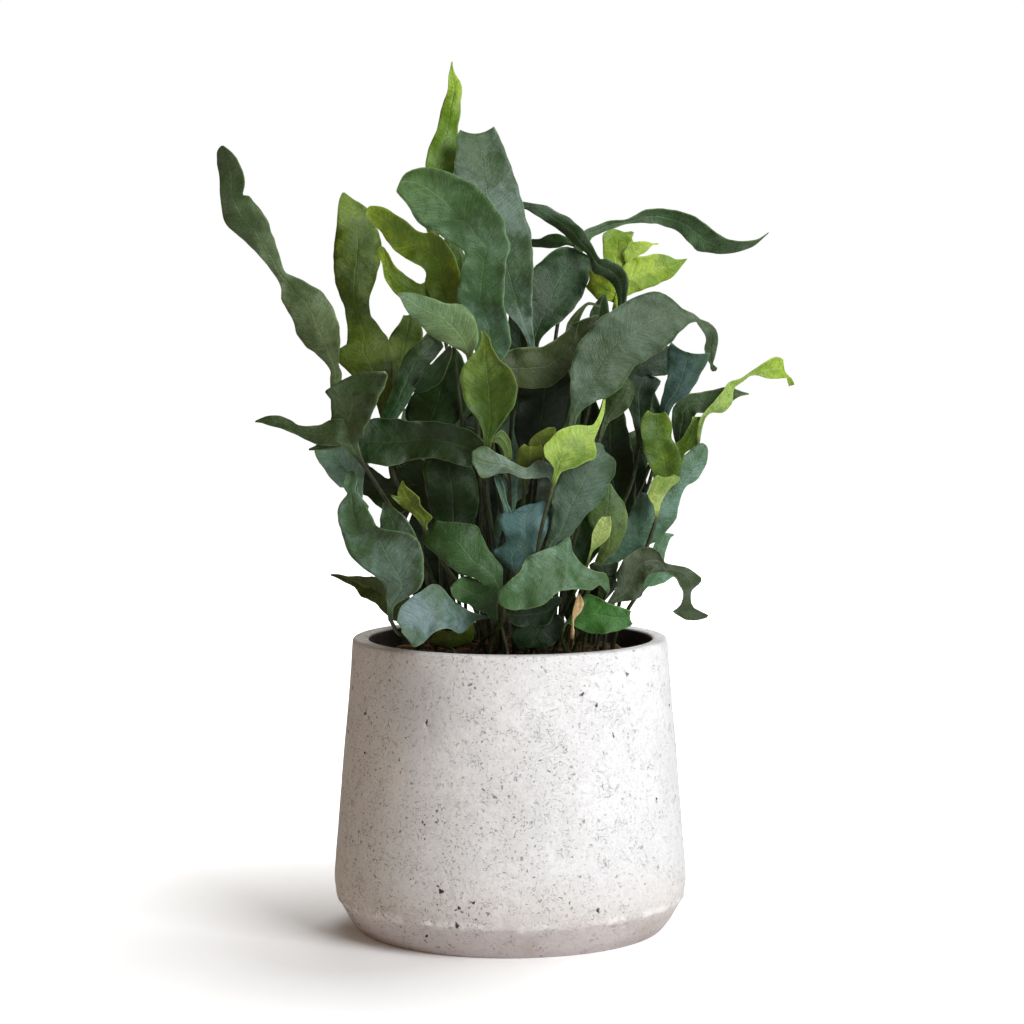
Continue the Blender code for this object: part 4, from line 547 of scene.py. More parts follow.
# One entry for each frond: its root on the mix, then its blades, in millimetres. A blade is
# (depth at its base, depth at its tip, bow, [(left x, left z, right x, right z), ...]) from base to tip.
# The places are on the upright plane through the pot's axis, as the camera sees them, and depth runs away
# from the front. Every blade after the first is a lobe that grows out of the first one, at its depth.
FRONDS = {
    "frond_long_left": ((-34, 14), [
        (6, -38, 4, [(-88.6, 266, -83.5, 267), (-88.8, 272, -82.8, 274), (-89, 276.5, -84.6, 279),
            (-95, 283.5, -83.8, 287), (-101, 288, -83.8, 295), (-105, 293.5, -85, 301),
            (-106.6, 300, -88.5, 308.5), (-110, 306, -93.5, 315), (-112.5, 311, -100, 318.8),
            (-112.9, 317, -107, 322.2), (-116, 323, -111, 325), (-121, 329.5, -114, 334.5),
            (-127, 336, -116.5, 342), (-133, 341.5, -119, 349), (-139.2, 347, -123, 355.5),
            (-141.3, 354, -128.1, 361.1), (-142.2, 361, -130.9, 361.5), (-142.4, 366, -130, 366),
            (-142.8, 373, -130.5, 372.5), (-143.7, 380, -134, 379.5), (-143.2, 383.5, -138, 384),
            (-141.5, 385.6, -140.3, 385.7)])]),
    "frond_olive_left": ((-26, 12), [
        (0, 38, 3, [(-64, 252, -60.5, 252), (-66, 259, -59, 258.5), (-70, 266, -58, 270),
            (-77.9, 273.5, -58, 281), (-84.3, 279.5, -59, 287), (-83.9, 286.5, -60.8, 292.1),
            (-80.5, 288.5, -62.5, 294.5), (-80, 296, -66.5, 300), (-81.5, 306, -69.3, 304.5),
            (-84, 312.5, -69, 310), (-86, 320.5, -66.8, 318.5), (-86.7, 328, -64.5, 326.3),
            (-86.7, 334.5, -63.2, 334), (-86, 341, -64, 341.5), (-84.9, 349, -66.3, 347.5),
            (-84.5, 356, -70.8, 355.8), (-83.6, 360, -76.5, 359.4), (-82.3, 362.8, -81.2, 362.9)]),
        (None, 30, 0, [(-64, 259, -60, 258), (-62, 266, -54, 265), (-60.5, 275, -50, 274),
            (-60.3, 285, -45, 284), (-59.5, 292.5, -43, 292), (-55, 298, -44, 300),
            (-52.5, 303, -47, 305)])]),
    "frond_hand": ((-16, 6), [
        (-2, -4, 0, [(-31, 296, -26, 297), (-33, 302, -25, 304), (-37, 309, -24.5, 313),
            (-41.5, 317, -25, 325), (-42, 325, -29, 335), (-48, 329, -37, 343), (-53, 331.8, -42.5, 343),
            (-57.5, 335.5, -48, 346), (-61, 339.5, -53.5, 350.5), (-64, 344.5, -58.6, 354.2),
            (-67.5, 347.5, -63.5, 355.9), (-70, 350.3, -68.3, 356.5), (-71.2, 352.8, -70.8, 354.6)]),
        (None, -4, 0, [(-36, 308, -38, 322), (-44, 309, -44, 318.5), (-50, 309.5, -50, 321.5),
            (-55, 312, -53.5, 324.5), (-59, 316.5, -57.5, 328), (-61.8, 322, -59.8, 333),
            (-62.9, 328, -61.8, 335.9), (-64.2, 331, -63.4, 336.8), (-65.5, 333.5, -65, 335.5)])]),
    "frond_bright_top": ((-10, 26), [
        (38, 62, 0, [(-41, 344, -34, 343), (-43.5, 356, -31, 355), (-43.5, 366, -28.5, 365),
            (-41.5, 377, -27.2, 377.5), (-40, 384, -25.7, 384), (-37.4, 390, -26, 390.5),
            (-35.4, 395, -25.2, 396), (-34.6, 400.5, -24.5, 402), (-33.3, 405, -23.9, 407),
            (-31.3, 410, -23.6, 412.5), (-30.3, 414.5, -24.5, 417), (-30.2, 419.5, -26.7, 420),
            (-29.2, 423.5, -28, 423.8), (-28.9, 426.2, -28, 426.4)])]),
    "frond_tall_front": ((-6, -12), [
        (-14, -40, 2, [(-15, 276, -8, 276), (-17, 283, -1.5, 284), (-19, 292, 0.1, 291),
            (-22, 301, -1, 300), (-25.8, 310, -3, 307.5), (-25.2, 318, -3, 317), (-23.5, 328, -2, 328),
            (-23, 334, -0.3, 337), (-30, 339, -2, 344), (-37, 344, -3.3, 350), (-41.5, 345.5, -8, 356.5),
            (-46.3, 349.5, -15, 365), (-49, 354.5, -24, 369.7), (-52, 359, -34, 374.3),
            (-54.8, 361.8, -44, 374.8), (-55.8, 363.5, -51, 372.5), (-55, 366, -53.4, 369.5)])]),
    "frond_tall_back": ((6, 16), [
        (10, 44, 0, [(9.5, 282, 12.5, 282), (8, 290, 12, 289.5), (4, 297.5, 11, 296),
            (-2, 304.5, 11, 306), (-8, 314, 11, 318), (-14, 325, 11.1, 329), (-19, 338, 10.3, 341),
            (-24, 352, 7.5, 352.5), (-27, 364, 5, 361.5), (-27.6, 372, 2.2, 371), (-27, 379, -1, 379),
            (-26, 386, -3.5, 386.5), (-26.5, 389.5, -5.3, 390), (-24.5, 393.4, -8.2, 395)])]),
    "frond_arc": ((22, 12), [
        (0, 58, 0, [(52.5, 297, 55.5, 297), (52.5, 303, 56.5, 303), (52.9, 309, 57.3, 312.5),
            (51.5, 316, 58.2, 318.5), (47.5, 320.8, 56.5, 324.6), (43, 322.5, 52.5, 328),
            (40.2, 324.5, 47, 330.4), (39.5, 329, 44.2, 330.3), (37.5, 333, 42, 333.8),
            (34, 335.5, 40, 337.5), (30, 338.8, 37.5, 341.8), (24.5, 343.8, 34, 346.3),
            (18, 348.4, 29.5, 350.3), (12.5, 351.8, 23.6, 353), (8, 354.5, 18, 356.3),
            (4, 355.5, 10, 357.8), (0.5, 357.6, 1.5, 359)])]),
    "frond_long_right": ((20, 30), [
        (44, 78, 6, [(28, 326, 32, 326), (30, 334, 35, 333), (34, 341.3, 38, 337), (37, 344.7, 40, 340.6),
            (43, 347, 45, 343.2), (49, 349.3, 50.5, 345.2), (56, 349.6, 56.5, 347.3),
            (61, 351.7, 62.5, 348), (66.5, 354.5, 68, 347.9), (75, 355, 73.5, 347.2),
            (83, 353.9, 79, 345.2), (90.3, 351, 84, 342.3), (95.5, 347.6, 87.9, 338.2),
            (101, 343.4, 92, 334.5), (106, 340.5, 99, 333.2), (112, 339.2, 107.5, 333.1),
            (118, 339.4, 115, 334.8), (122.2, 340.4, 120.3, 337.3), (126.8, 343.6, 126.6, 342.8)]),
        (None, 60, 0, [(33, 335.5, 33, 340.5), (27.5, 337.2, 27.8, 341.2), (24, 336, 24.3, 342.7),
            (19, 335.6, 18.5, 342.4), (15, 336, 15, 340.5), (10, 336.3, 10, 340.1),
            (3, 337, 3, 339.5)])]),
    "frond_bright_lobed": ((27, 24), [
        (26, 44, 0, [(50, 306, 54, 304), (52, 314, 56.5, 310.5), (54, 323, 58, 312.8),
            (57, 328.5, 62, 314.2), (61.5, 331, 67, 315.8), (67, 332.3, 72, 317.7),
            (73, 332.9, 76.5, 320.1), (78, 331.8, 80.4, 322.4), (81.5, 330.2, 83.9, 326.6),
            (86.9, 330.6, 86.5, 329.9)]),
        (None, 46, 0, [(47, 322, 57, 317), (45.7, 331, 58.5, 326), (45.3, 337.5, 60, 333),
            (45.6, 343, 60.5, 338.6), (51.2, 345.2, 59.8, 341), (55, 343.5, 60.3, 342.4),
            (59.4, 344, 60.8, 343.4)]),
        (None, 40, 0, [(55, 333, 58, 325), (58.5, 338.6, 62, 331.2), (61, 338.8, 65.5, 333.3),
            (66, 339.1, 68, 335.4), (69.5, 338.2, 69.8, 337.1), (72.6, 338.2, 72.5, 337.4)]),
        (None, 30, 0, [(55, 306.5, 56, 313), (49.5, 309.5, 52, 317), (44, 310, 48.5, 321),
            (39.5, 314, 43, 324), (36.9, 317, 38.5, 325)])]),
    "frond_oval_dark": ((12, 22), [
        (16, 34, 0, [(11, 283, 14, 283), (9.5, 290, 14.5, 290), (9, 298, 19, 295.8),
            (8.5, 307, 26, 300.5), (9, 317, 31.5, 306.3), (11.5, 325.8, 35, 312),
            (15.5, 329.3, 37.5, 318), (20.5, 334, 39, 322.5), (28, 336.6, 40.5, 325.5),
            (35, 333.9, 42, 327.5), (42.2, 329.8, 43.2, 328)])]),
    "frond_big_right": ((16, -26), [
        (-42, -4, -8, [(27.5, 240, 30, 240), (28.5, 247, 31.5, 247), (29.8, 256, 34, 254.5),
            (29.7, 265, 41, 260), (29.8, 274, 48.5, 262.8), (30.8, 282, 53.5, 266.5),
            (34, 289.5, 57.5, 272.3), (38.5, 294.8, 61, 277.5), (43.5, 301.5, 66, 280.5),
            (50.5, 305.3, 72, 283.4), (57.5, 309.7, 76.5, 287.2), (65, 313.3, 80, 290.5),
            (73, 314.4, 83.5, 294.5), (79.5, 310.8, 86, 297.2), (84.5, 306.2, 88.5, 299),
            (90, 303.8, 91.4, 299.6), (93.4, 301, 92, 298.4), (97.5, 299.5, 93.6, 296.6),
            (101.2, 296, 95.6, 293.6), (102.3, 291, 96.2, 290.3), (101.6, 285.5, 95.4, 286.2),
            (100.3, 281, 97, 281), (99.9, 278.8, 98.4, 278.6), (102, 277, 98.5, 276.6),
            (101.2, 275.4, 99.4, 275.2)])]),
    "frond_olive_right": ((2, -6), [
        (-16, 0, 0, [(-7, 270, -6, 266), (-6, 283, -3, 271), (0, 286, 4, 267.8), (9, 287.2, 12, 266.8),
            (16, 287.7, 20, 268), (21.5, 290.5, 25.5, 272.5), (27, 294.5, 31, 279), (31, 298.8, 35, 286),
            (34.7, 300.6, 38, 292), (38.5, 301.9, 41, 297.5), (42.7, 303.4, 43.5, 302.4)]),
        (None, -2, 0, [(25, 289, 31, 287), (27.3, 295.5, 33, 295), (28, 299, 33.8, 299.5),
            (31.2, 303.5, 35, 302.5), (34.7, 307, 36.5, 305.5), (38.2, 309.3, 38.4, 307.8),
            (41.7, 308.7, 41.5, 307.4), (44.6, 307.6, 44.3, 306.8)])]),
    "frond_pointed_front": ((-4, -30), [
        (-46, -44, -4, [(-12.8, 236, -9.8, 236), (-13.5, 244, -8, 243.6), (-16, 251.5, -3, 251.5),
            (-21, 258, 1.5, 257.5), (-23.5, 264.5, 3.5, 264), (-24.9, 271, 3, 270.5),
            (-23.5, 277, 0, 276.5), (-19.5, 282.3, -5.3, 281), (-15.7, 286.8, -8.8, 287),
            (-14.2, 291, -10.2, 291.5), (-14.4, 295.6, -13.6, 295.8)]),
        (None, -42, 0, [(-11, 240, -8, 243), (-7, 240, -4.5, 246.5), (-4, 237, -1, 243.5),
            (-3, 233, 0.6, 238), (-1.5, 230, 1, 232)])]),
    "frond_curled": ((-14, -16), [
        (-34, -46, 0, [(-20.5, 276, -18, 276), (-22, 283.5, -18.5, 284.5), (-27, 286.7, -16.3, 288.5),
            (-33.5, 290, -16.2, 297), (-39, 293, -18.5, 302.8), (-42.5, 295.8, -23.8, 308),
            (-46, 299.8, -32, 308.8), (-49, 302.5, -40, 311.5), (-52, 307, -46.5, 313.3),
            (-54, 311, -52, 314.1), (-55.8, 312.8, -55.3, 313.7)])]),
    "frond_star": ((-36, -14), [
        (-30, -32, -4, [(-76, 232, -73, 233), (-82, 237.6, -75, 240.6), (-88, 243, -73, 242.5),
            (-88.5, 249.5, -72, 247), (-88, 255, -69, 252), (-88.8, 261.5, -66.5, 258),
            (-91.3, 265.1, -64.5, 263), (-87, 268.3, -62.5, 267), (-81, 271.9, -61, 271),
            (-74, 274.8, -60.5, 274), (-68, 275.4, -62, 275.3)]),
        (None, -22, 0, [(-79, 239, -79, 251), (-87, 238.5, -87.5, 252), (-94.5, 239, -93, 249.2),
            (-99.6, 240.9, -98.5, 248.6), (-105, 243.7, -104.5, 248.8), (-110, 246, -108, 251.2),
            (-115, 247.5, -113.5, 253.4), (-120, 249, -118.5, 253.7), (-123, 249.9, -122.3, 252.5),
            (-126, 250.2, -125.6, 251)]),
        (None, -28, 0, [(-80, 239, -80, 242.5), (-86, 237.3, -86, 241), (-93, 236.4, -93, 239.8),
            (-99.4, 236.3, -99.4, 237.2)])]),
    "frond_pale_left": ((-44, -4), [
        (-8, -12, 0, [(-77, 205, -73.5, 205), (-77, 212, -73, 212), (-79.5, 217.5, -72.5, 223),
            (-84, 218.2, -71, 229.5), (-89, 223.2, -75.5, 234), (-93, 228.3, -79, 238.5),
            (-96, 233.8, -84, 241), (-96.5, 237, -90, 242), (-95.5, 240, -93.5, 241.5)])]),
    "frond_dark_bar": ((-14, -26), [
        (-38, -24, 0, [(-12, 231, -10.8, 236), (-15, 231, -12, 239.8), (-20, 228, -17, 244.3),
            (-26, 229.5, -24, 247.8), (-33, 231.6, -32, 250), (-41, 232.4, -40, 251),
            (-49, 231.6, -49, 250.5), (-56, 229.2, -56, 252), (-63, 228.6, -63, 252),
            (-69, 229.8, -69, 252), (-73.5, 229.6, -73, 248), (-76.5, 234.5, -76, 243),
            (-78.2, 237.8, -77.5, 240)])]),
    "frond_folded_left": ((-22, -2), [
        (-14, 4, 0, [(-62.5, 246, -59, 246), (-64, 252.3, -55.5, 252), (-60.5, 260.5, -50.5, 260),
            (-58, 267, -47.5, 265.5), (-55.5, 274, -44.5, 270.5), (-52.5, 282, -41, 277),
            (-48, 287.5, -36, 283.5), (-43.5, 291.2, -33, 287.5), (-40.5, 295, -35, 291.5)]),
        (None, -18, 0, [(-51, 268, -47.5, 265), (-47.7, 268, -43, 265), (-45, 271.5, -38.5, 266.8),
            (-42.5, 275.5, -34, 270.3), (-38.5, 279.3, -31, 276.5), (-34.5, 283.4, -29.3, 281.5),
            (-31.5, 286.3, -28.5, 285.3), (-30.1, 288, -29.2, 287.9)])]),
    "frond_dark_middle": ((-10, -6), [
        (-6, 8, 0, [(-40, 240, -36, 240), (-44, 246, -32, 244), (-51, 251, -27, 250),
            (-51.5, 256, -22, 256), (-49, 262, -20, 264), (-45, 268, -21, 271), (-38, 275, -22, 277),
            (-31, 282, -24, 283), (-28.6, 287, -27.2, 287)])]),
    "frond_dark_inner": ((6, 2), [
        (-4, -2, 0, [(11, 226, 15, 226), (4, 238, 22, 240), (2, 247, 27, 249), (3, 257, 29.5, 258),
            (4, 267, 30, 268), (8, 276, 28, 277), (14, 284, 22, 284.5)])]),
    "frond_blue_upright": ((42, 8), [
        (6, -22, 0, [(72.5, 244, 75.5, 244), (73.5, 252, 77.5, 251.5), (73.8, 258.5, 80.5, 259),
            (75.5, 265, 87, 263.2), (77, 272, 91.5, 269.5), (77.4, 279, 95, 276.5),
            (77.4, 286, 97.5, 281.5), (79.4, 289.7, 98, 284.6)])]),
    "frond_dark_right": ((36, 8), [
        (-2, 2, 0, [(62, 244, 66, 244), (60, 252, 68, 251), (57, 261, 69.7, 259.5),
            (55.5, 268, 71.5, 265.5), (57, 273, 74.4, 270.5), (59, 277, 69, 273.5), (61, 279, 65, 276)]),
        (None, 6, 0, [(57, 276, 62, 271), (60, 281, 67, 273.4), (65, 285, 71, 273),
            (71, 287.5, 76, 273.2), (77, 288, 79.5, 274.5), (81, 286, 82, 277)])]),
    "frond_pale_twist": ((50, -8), [
        (-14, 22, 0, [(91.5, 240, 93.5, 239.5), (93, 250.5, 95.3, 249.8), (96, 255.6, 98.5, 254.7),
            (100, 259.8, 104.5, 254.9), (103.8, 264.5, 109, 258.8), (106.5, 268.7, 109.9, 264.5),
            (109, 270.6, 110.8, 267.6), (113.5, 271.9, 114.7, 270.4), (118, 275, 118.8, 273.2),
            (122, 277.5, 122.5, 273), (126.8, 280.9, 127, 272), (131, 282.7, 131, 271.3),
            (134.3, 281, 134.8, 271.7), (134.4, 276.2, 136.3, 272), (138.6, 271.8, 136.7, 269.6),
            (140, 268.8, 137.2, 267.9)])]),
    "frond_right_tongue": ((42, 10), [
        (3, 2, 0, [(82, 238, 85, 237.5), (80, 246, 88, 244), (79.5, 252, 90.5, 249.5),
            (80.5, 257.5, 91, 253.2), (84, 261.8, 91.6, 254.4), (89, 264.4, 93, 254.8),
            (94, 265.3, 96.5, 255), (100, 266.1, 101.5, 256.5), (106, 267.5, 107, 258.8),
            (110.8, 266.7, 111.2, 262), (114, 265.4, 114.4, 263.3), (117.6, 264.6, 117.6, 263.8)])]),
    "frond_fork": ((46, -13), [
        (-4, -12, -3, [(73, 212, 77, 212), (71.5, 219, 81, 219), (69.8, 226, 83.8, 226),
            (67.5, 232, 84.3, 231.5), (65.5, 237.5, 83, 237.5), (64.8, 243, 79.8, 242),
            (64.2, 248.5, 79.5, 248), (65, 252.5, 78.3, 252.8), (68, 256.2, 76, 255.6)]),
        (None, -10, 0, [(75, 230, 84.3, 228), (79, 238, 86.5, 234.8), (83.9, 241.6, 90.4, 237.6),
            (86.4, 245.6, 93.2, 242), (88.8, 249.5, 94.2, 248.5), (90, 253, 94.5, 253)])]),
    "frond_pale_cup": ((42, -24), [
        (-38, -34, 0, [(71.6, 203, 73.6, 203), (71, 208.5, 74.2, 209), (69, 211.5, 76, 213.5),
            (67.9, 215, 79.5, 218.3), (69.5, 219, 83.5, 221.5), (70.3, 221.7, 83.6, 223),
            (73, 224.2, 81, 224.6)])]),
    "frond_broad_right": ((32, -18), [
        (-28, -12, 0, [(39, 177, 41, 174), (44, 183, 46, 179.3), (50, 190, 53, 180.8),
            (54.5, 197, 60, 185), (58.5, 204, 67, 188.6), (62.5, 211.5, 73, 192),
            (65.5, 215.5, 78.5, 198), (69, 214, 82, 203), (74, 213, 83.2, 208), (79, 217.5, 84, 213),
            (82.5, 223.5, 87, 218.3), (84.3, 229, 91.5, 221.3), (86, 233.7, 95, 226),
            (90, 237.3, 97.3, 232), (93, 239.7, 97.7, 236.2), (95, 240, 96.6, 239)])]),
    "frond_low_right_back": ((50, -21), [
        (-24, -16, 0, [(62, 166, 65, 165), (66, 174, 71, 172), (69, 182, 75.5, 180),
            (70.5, 188, 76.8, 186.5), (72.5, 192, 78.3, 190.5), (75.7, 195.5, 79.5, 193.2),
            (80.6, 195, 81.1, 194.2)]),
        (None, -12, 0, [(64, 177, 65.5, 168.8), (70, 178.5, 72, 169.2), (75, 177.8, 76.5, 170.9),
            (79, 175.7, 79.8, 173.2), (81.5, 174.8, 81.6, 173.9)])]),
    "frond_hook": ((30, -36), [
        (-50, -36, -6, [(46, 157, 48, 155), (49.5, 163.5, 52, 160.5), (52.5, 168.5, 58.5, 161.9),
            (53.2, 175, 64.5, 163.5), (56.5, 182, 66, 168), (61.5, 186.8, 67.5, 173),
            (68.5, 188.5, 72, 175.7), (73.8, 186, 75.5, 176.3), (76.5, 180.8, 78, 175.6),
            (81.5, 179.5, 80.8, 174), (88.4, 177.8, 83, 171.5), (94.6, 173.3, 84.8, 168),
            (93.5, 170.1, 85.4, 165), (90, 167.3, 85.4, 162.5), (89.4, 163, 84.5, 159.8),
            (91, 158.2, 82.5, 157.8), (98.3, 154.6, 80.8, 156.4), (95, 152.6, 83.5, 154.1),
            (91.5, 151.9, 87, 152.2)])]),
    "frond_olive_blade": ((29, -30), [
        (-42, -38, 0, [(41, 175, 43.5, 174.5), (42, 182, 46.5, 181), (44, 187, 52.5, 187.2),
            (43, 193, 56, 193.5), (40, 199, 57.7, 199), (38, 203.5, 58, 204.5),
            (40.5, 208.5, 56.5, 209.3), (44, 213.5, 53.5, 213.8), (47, 217.5, 51, 217.5),
            (48.6, 220, 49.8, 220)])]),
    "frond_pale_small": ((22, -32), [
        (-50, -50, 0, [(37.5, 180, 39, 180), (39.3, 186, 40.7, 186), (40, 190, 45, 189.8),
            (40.5, 195, 49.2, 194.5), (43.2, 200.8, 50, 200.5), (45.4, 203.4, 49.6, 203.6)])]),
    "frond_blue_centre": ((12, -32), [
        (-52, -44, -3, [(17, 182, 19.5, 182), (17, 189, 23, 190.3), (19.5, 196, 29, 193.6),
            (20.8, 203, 33, 198.3), (20.8, 210, 37.5, 204.2), (20.7, 215.8, 42.5, 208.6),
            (23, 221, 45.8, 213.3), (25.5, 227, 48.5, 219.8), (29, 232.5, 51.5, 224.5),
            (34, 237, 52.2, 229.5), (39, 240, 50.5, 233), (42, 240.2, 47, 235.5),
            (45, 239.6, 46, 238.6)])]),
    "frond_bright_centre": ((10, -42), [
        (-60, -30, -4, [(20, 220, 22.5, 219.4), (21.5, 227.5, 25.5, 225.8), (17.3, 233, 31, 227.7),
            (16.6, 238, 37, 230.6), (20, 241.8, 42, 232.6), (25.5, 247.2, 42.6, 236.5),
            (33, 248.9, 41.5, 241), (40, 248.6, 43.2, 246.3), (43, 252.3, 45, 250.5),
            (45, 257.5, 46.4, 255.8), (46, 262.2, 47, 261.6)])]),
    "frond_olive_behind": ((24, -8), [
        (-24, -20, 0, [(43, 243, 45.5, 242.5), (45, 252, 48.5, 250), (46, 258, 52, 252.5),
            (48, 264, 57, 256), (52, 269, 60, 260.5), (55, 272, 61, 266), (58.5, 271.8, 60.4, 269.8)])]),
    "frond_yellow_small": ((4, -26), [
        (-42, -44, 0, [(6, 218, 8.5, 218), (5, 224, 11, 224), (3, 230, 15, 229), (3.5, 236, 17, 235),
            (7, 239.6, 15, 239.6)]),
        (None, -48, 0, [(10, 236, 16.5, 237), (9, 240, 19, 239.5), (11, 243, 22, 243.5),
            (15, 246, 22.5, 246.5), (19, 247.8, 22, 247.6)])]),
    "frond_grey_centre": ((8, -36), [
        (-46, -58, 0, [(19.6, 206, 21.6, 206), (20, 214, 21.8, 214), (20.2, 219.5, 22.8, 219.5),
            (18.8, 222.9, 24.3, 224), (15, 222.8, 19.5, 229.6), (11, 222.3, 13.5, 231.6),
            (8, 222.3, 9.5, 228.3), (4.5, 222.9, 6.5, 227.9), (0, 225, 1.5, 230.4),
            (-4, 225.2, -2.5, 232.8), (-9, 223.8, -7, 235.4), (-14, 222.4, -12.5, 238.1),
            (-17, 227, -16.5, 237.6), (-18.9, 230.6, -18.9, 235.6)])]),
    "frond_blue_lobed": ((0, -40), [
        (-54, -50, -3, [(1, 176, 4, 176), (-6, 183, 8, 182), (-9.3, 186.5, 12.5, 185),
            (-4.5, 188.9, 15, 189), (-2, 192, 16.8, 193), (-3.5, 197, 18.5, 197.5),
            (-6, 201.5, 20.3, 201.5), (-5, 205, 20.8, 204.8), (0.5, 205.5, 20.3, 207.8),
            (4.5, 208, 18, 210.3), (10, 210, 15.5, 211.5)]),
        (None, -50, 0, [(-2, 202, 2, 203), (-3.5, 208.5, -0.5, 208.7), (-5, 213, -2, 213.2),
            (-6.3, 217, -2.6, 217.5), (-7.7, 221, -3.8, 221), (-8, 224, -4.5, 224)])]),
    "frond_front_centre": ((20, -44), [
        (-60, -78, -8, [(47.5, 166, 49.5, 168), (44.5, 169.5, 47.6, 175.1), (40.3, 167, 42, 176.3),
            (34, 167.6, 36, 179.5), (30, 167.5, 30.8, 186.5), (27, 167, 29.5, 193.5),
            (23.5, 165.8, 23.5, 189.8), (20, 163.2, 17, 186.8), (16.5, 160, 11, 184.7),
            (11, 158.2, 7, 181.6), (6, 157.3, 4.5, 175.5), (1, 157, -0.5, 172), (-3, 158.5, -4, 168.8),
            (-6, 160.6, -6.6, 165.3)])]),
    "frond_low_right": ((28, -52), [
        (-60, -62, -2, [(26, 149, 27, 147.6), (28, 151.8, 28.5, 150.3), (31, 156, 33, 148.4),
            (34.5, 162, 38.5, 146.2), (39, 165, 44, 145.4), (44.5, 162.7, 49.5, 145.8),
            (50.5, 160, 54.5, 147.1), (56, 158.2, 58.5, 148.7), (60, 156.5, 60.8, 150.4)])]),
    "frond_dry": ((30, -34), [
        (-64, -66, 0, [(30.4, 148, 31.6, 148), (30.6, 153, 31.8, 152.4), (30.8, 156.5, 34.8, 156),
            (31.8, 160, 36.3, 160), (32.8, 163.5, 35.7, 162.8), (33.6, 165.5, 34.6, 165.3)])]),
    "frond_low_dark": ((-1, -51), [
        (-53, -50, 0, [(-2.4, 158, -2.2, 152), (2, 160, 4, 148.8), (9, 161, 10, 149.2),
            (15, 162, 16, 149), (20, 163, 20, 151), (24, 164, 22, 156), (25.5, 163, 24.8, 160.5)]),
        (None, -52, 0, [(24, 155, 5, 154), (27.4, 149.6, 1, 148), (25, 144, 0, 143.5),
            (21, 139.5, 1, 140), (12, 137, 5, 137)])]),
    "frond_tufts_right": ((34, -30), [
        (-44, -46, 0, [(43, 160, 45, 159.5), (43.5, 165, 49, 164), (45, 170, 52.5, 169),
            (46, 174.5, 52, 174)]),
        (None, -46, 0, [(44, 170, 50, 169), (41, 175, 52.5, 174.5), (39, 179.5, 53.5, 178.5),
            (42, 181.3, 53.5, 181.5)])]),
    "frond_front_left": ((-5, -42), [
        (-42, -80, -6, [(-6, 150, -4.4, 150), (-8.2, 152.6, -6.4, 153.9), (-11, 152.9, -10, 154.2),
            (-16, 152.2, -14, 154.6), (-19, 150.5, -18, 155.7), (-21.7, 147.2, -22, 157.7),
            (-25, 145.5, -27, 161), (-29.5, 147.4, -31, 165), (-34, 147.6, -34.5, 169.2),
            (-38.5, 145.5, -38.5, 169.9), (-41.5, 142.5, -44, 166.5), (-44, 140.3, -49.5, 163),
            (-48, 138.9, -53.5, 159.4), (-51, 142.5, -55.5, 155), (-54, 146, -56.3, 151)])]),
    "frond_sword_left": ((-36, -26), [
        (-50, -32, -4, [(-50, 146, -46, 150), (-54, 150, -48, 158), (-58.5, 152.3, -50, 163.5),
            (-63, 156.3, -55, 166), (-67, 160.8, -60, 170), (-71, 162.5, -66, 173.5),
            (-74, 163.8, -71, 173.8), (-77.2, 168.6, -76, 174), (-81.5, 170.7, -80.5, 173.9),
            (-85.5, 173, -85, 175), (-89, 174.3, -88.8, 175.1)])]),
    "frond_broad_left": ((-44, -38), [
        (-62, -22, -10, [(-60.5, 152, -58, 152), (-61, 158, -57.5, 159), (-61.6, 163.5, -51, 163.5),
            (-62.5, 169.8, -44.5, 168.5), (-68, 174.8, -42.8, 174.5), (-75, 179.6, -42.9, 181.5),
            (-80, 185.5, -43.8, 188), (-82.2, 192, -50, 195), (-84, 198, -64, 197.7),
            (-85.6, 204, -68.8, 204), (-84.8, 209, -70.5, 208.5), (-82, 212.6, -74, 213.5),
            (-80.5, 215, -76.5, 216), (-82.5, 218.5, -76, 218.5), (-81.8, 223, -75.5, 222.5),
            (-80.5, 226, -77, 226.3)]),
        (None, -34, 0, [(-64, 184, -44, 184), (-66, 190, -45, 191), (-65.5, 194.5, -47.5, 196),
            (-64.3, 199, -50, 200.5), (-64.7, 202, -53.3, 204.8), (-63.6, 206, -57.5, 208),
            (-63, 210.6, -61.6, 210.9)]),
        (None, -28, 0, [(-68, 195, -65.5, 196.5), (-71.3, 200, -69.3, 201.5), (-74, 204.8, -71, 206),
            (-78, 208.8, -70, 208.5), (-78.5, 212.5, -72.8, 212), (-77.4, 216, -75, 215.5),
            (-76.8, 218.5, -75.6, 218.5)])]),
    "frond_dark_left": ((-34, -6), [
        (-16, -4, 0, [(-42, 205, -39, 212), (-48, 207, -42, 231), (-55, 205, -53, 229),
            (-62, 206.5, -60, 222.5), (-66.5, 209.5, -65, 225.5), (-70.5, 213.7, -69.5, 228),
            (-74, 214.8, -72.5, 225), (-76, 216.5, -75.8, 219)])]),
    "frond_twin_tip": ((-12, -34), [
        (-46, -40, 0, [(-42, 195, -40.2, 195), (-44, 199.6, -41, 200), (-46.5, 202.7, -38.5, 203.2),
            (-50, 206, -42, 206.4), (-53.5, 208.5, -44.5, 209.8), (-55, 212, -45, 213),
            (-55.7, 215.8, -48.5, 216.3), (-54.6, 219, -51.8, 218.8), (-53.5, 221.3, -52.7, 221.4)]),
        (None, -42, 0, [(-53, 208, -51.5, 212), (-56, 210.6, -55, 213.2), (-59, 213.7, -58.7, 214.6)])]),
    "frond_green_oval": ((-8, -22), [
        (-30, -26, 0, [(-28, 190, -25, 190), (-33, 198, -22, 197), (-39, 205, -17.5, 203),
            (-41, 213, -15.5, 211), (-42.5, 221, -16, 219), (-43.2, 228, -18, 226), (-41, 233, -22, 231),
            (-36, 236.5, -27, 235)])]),
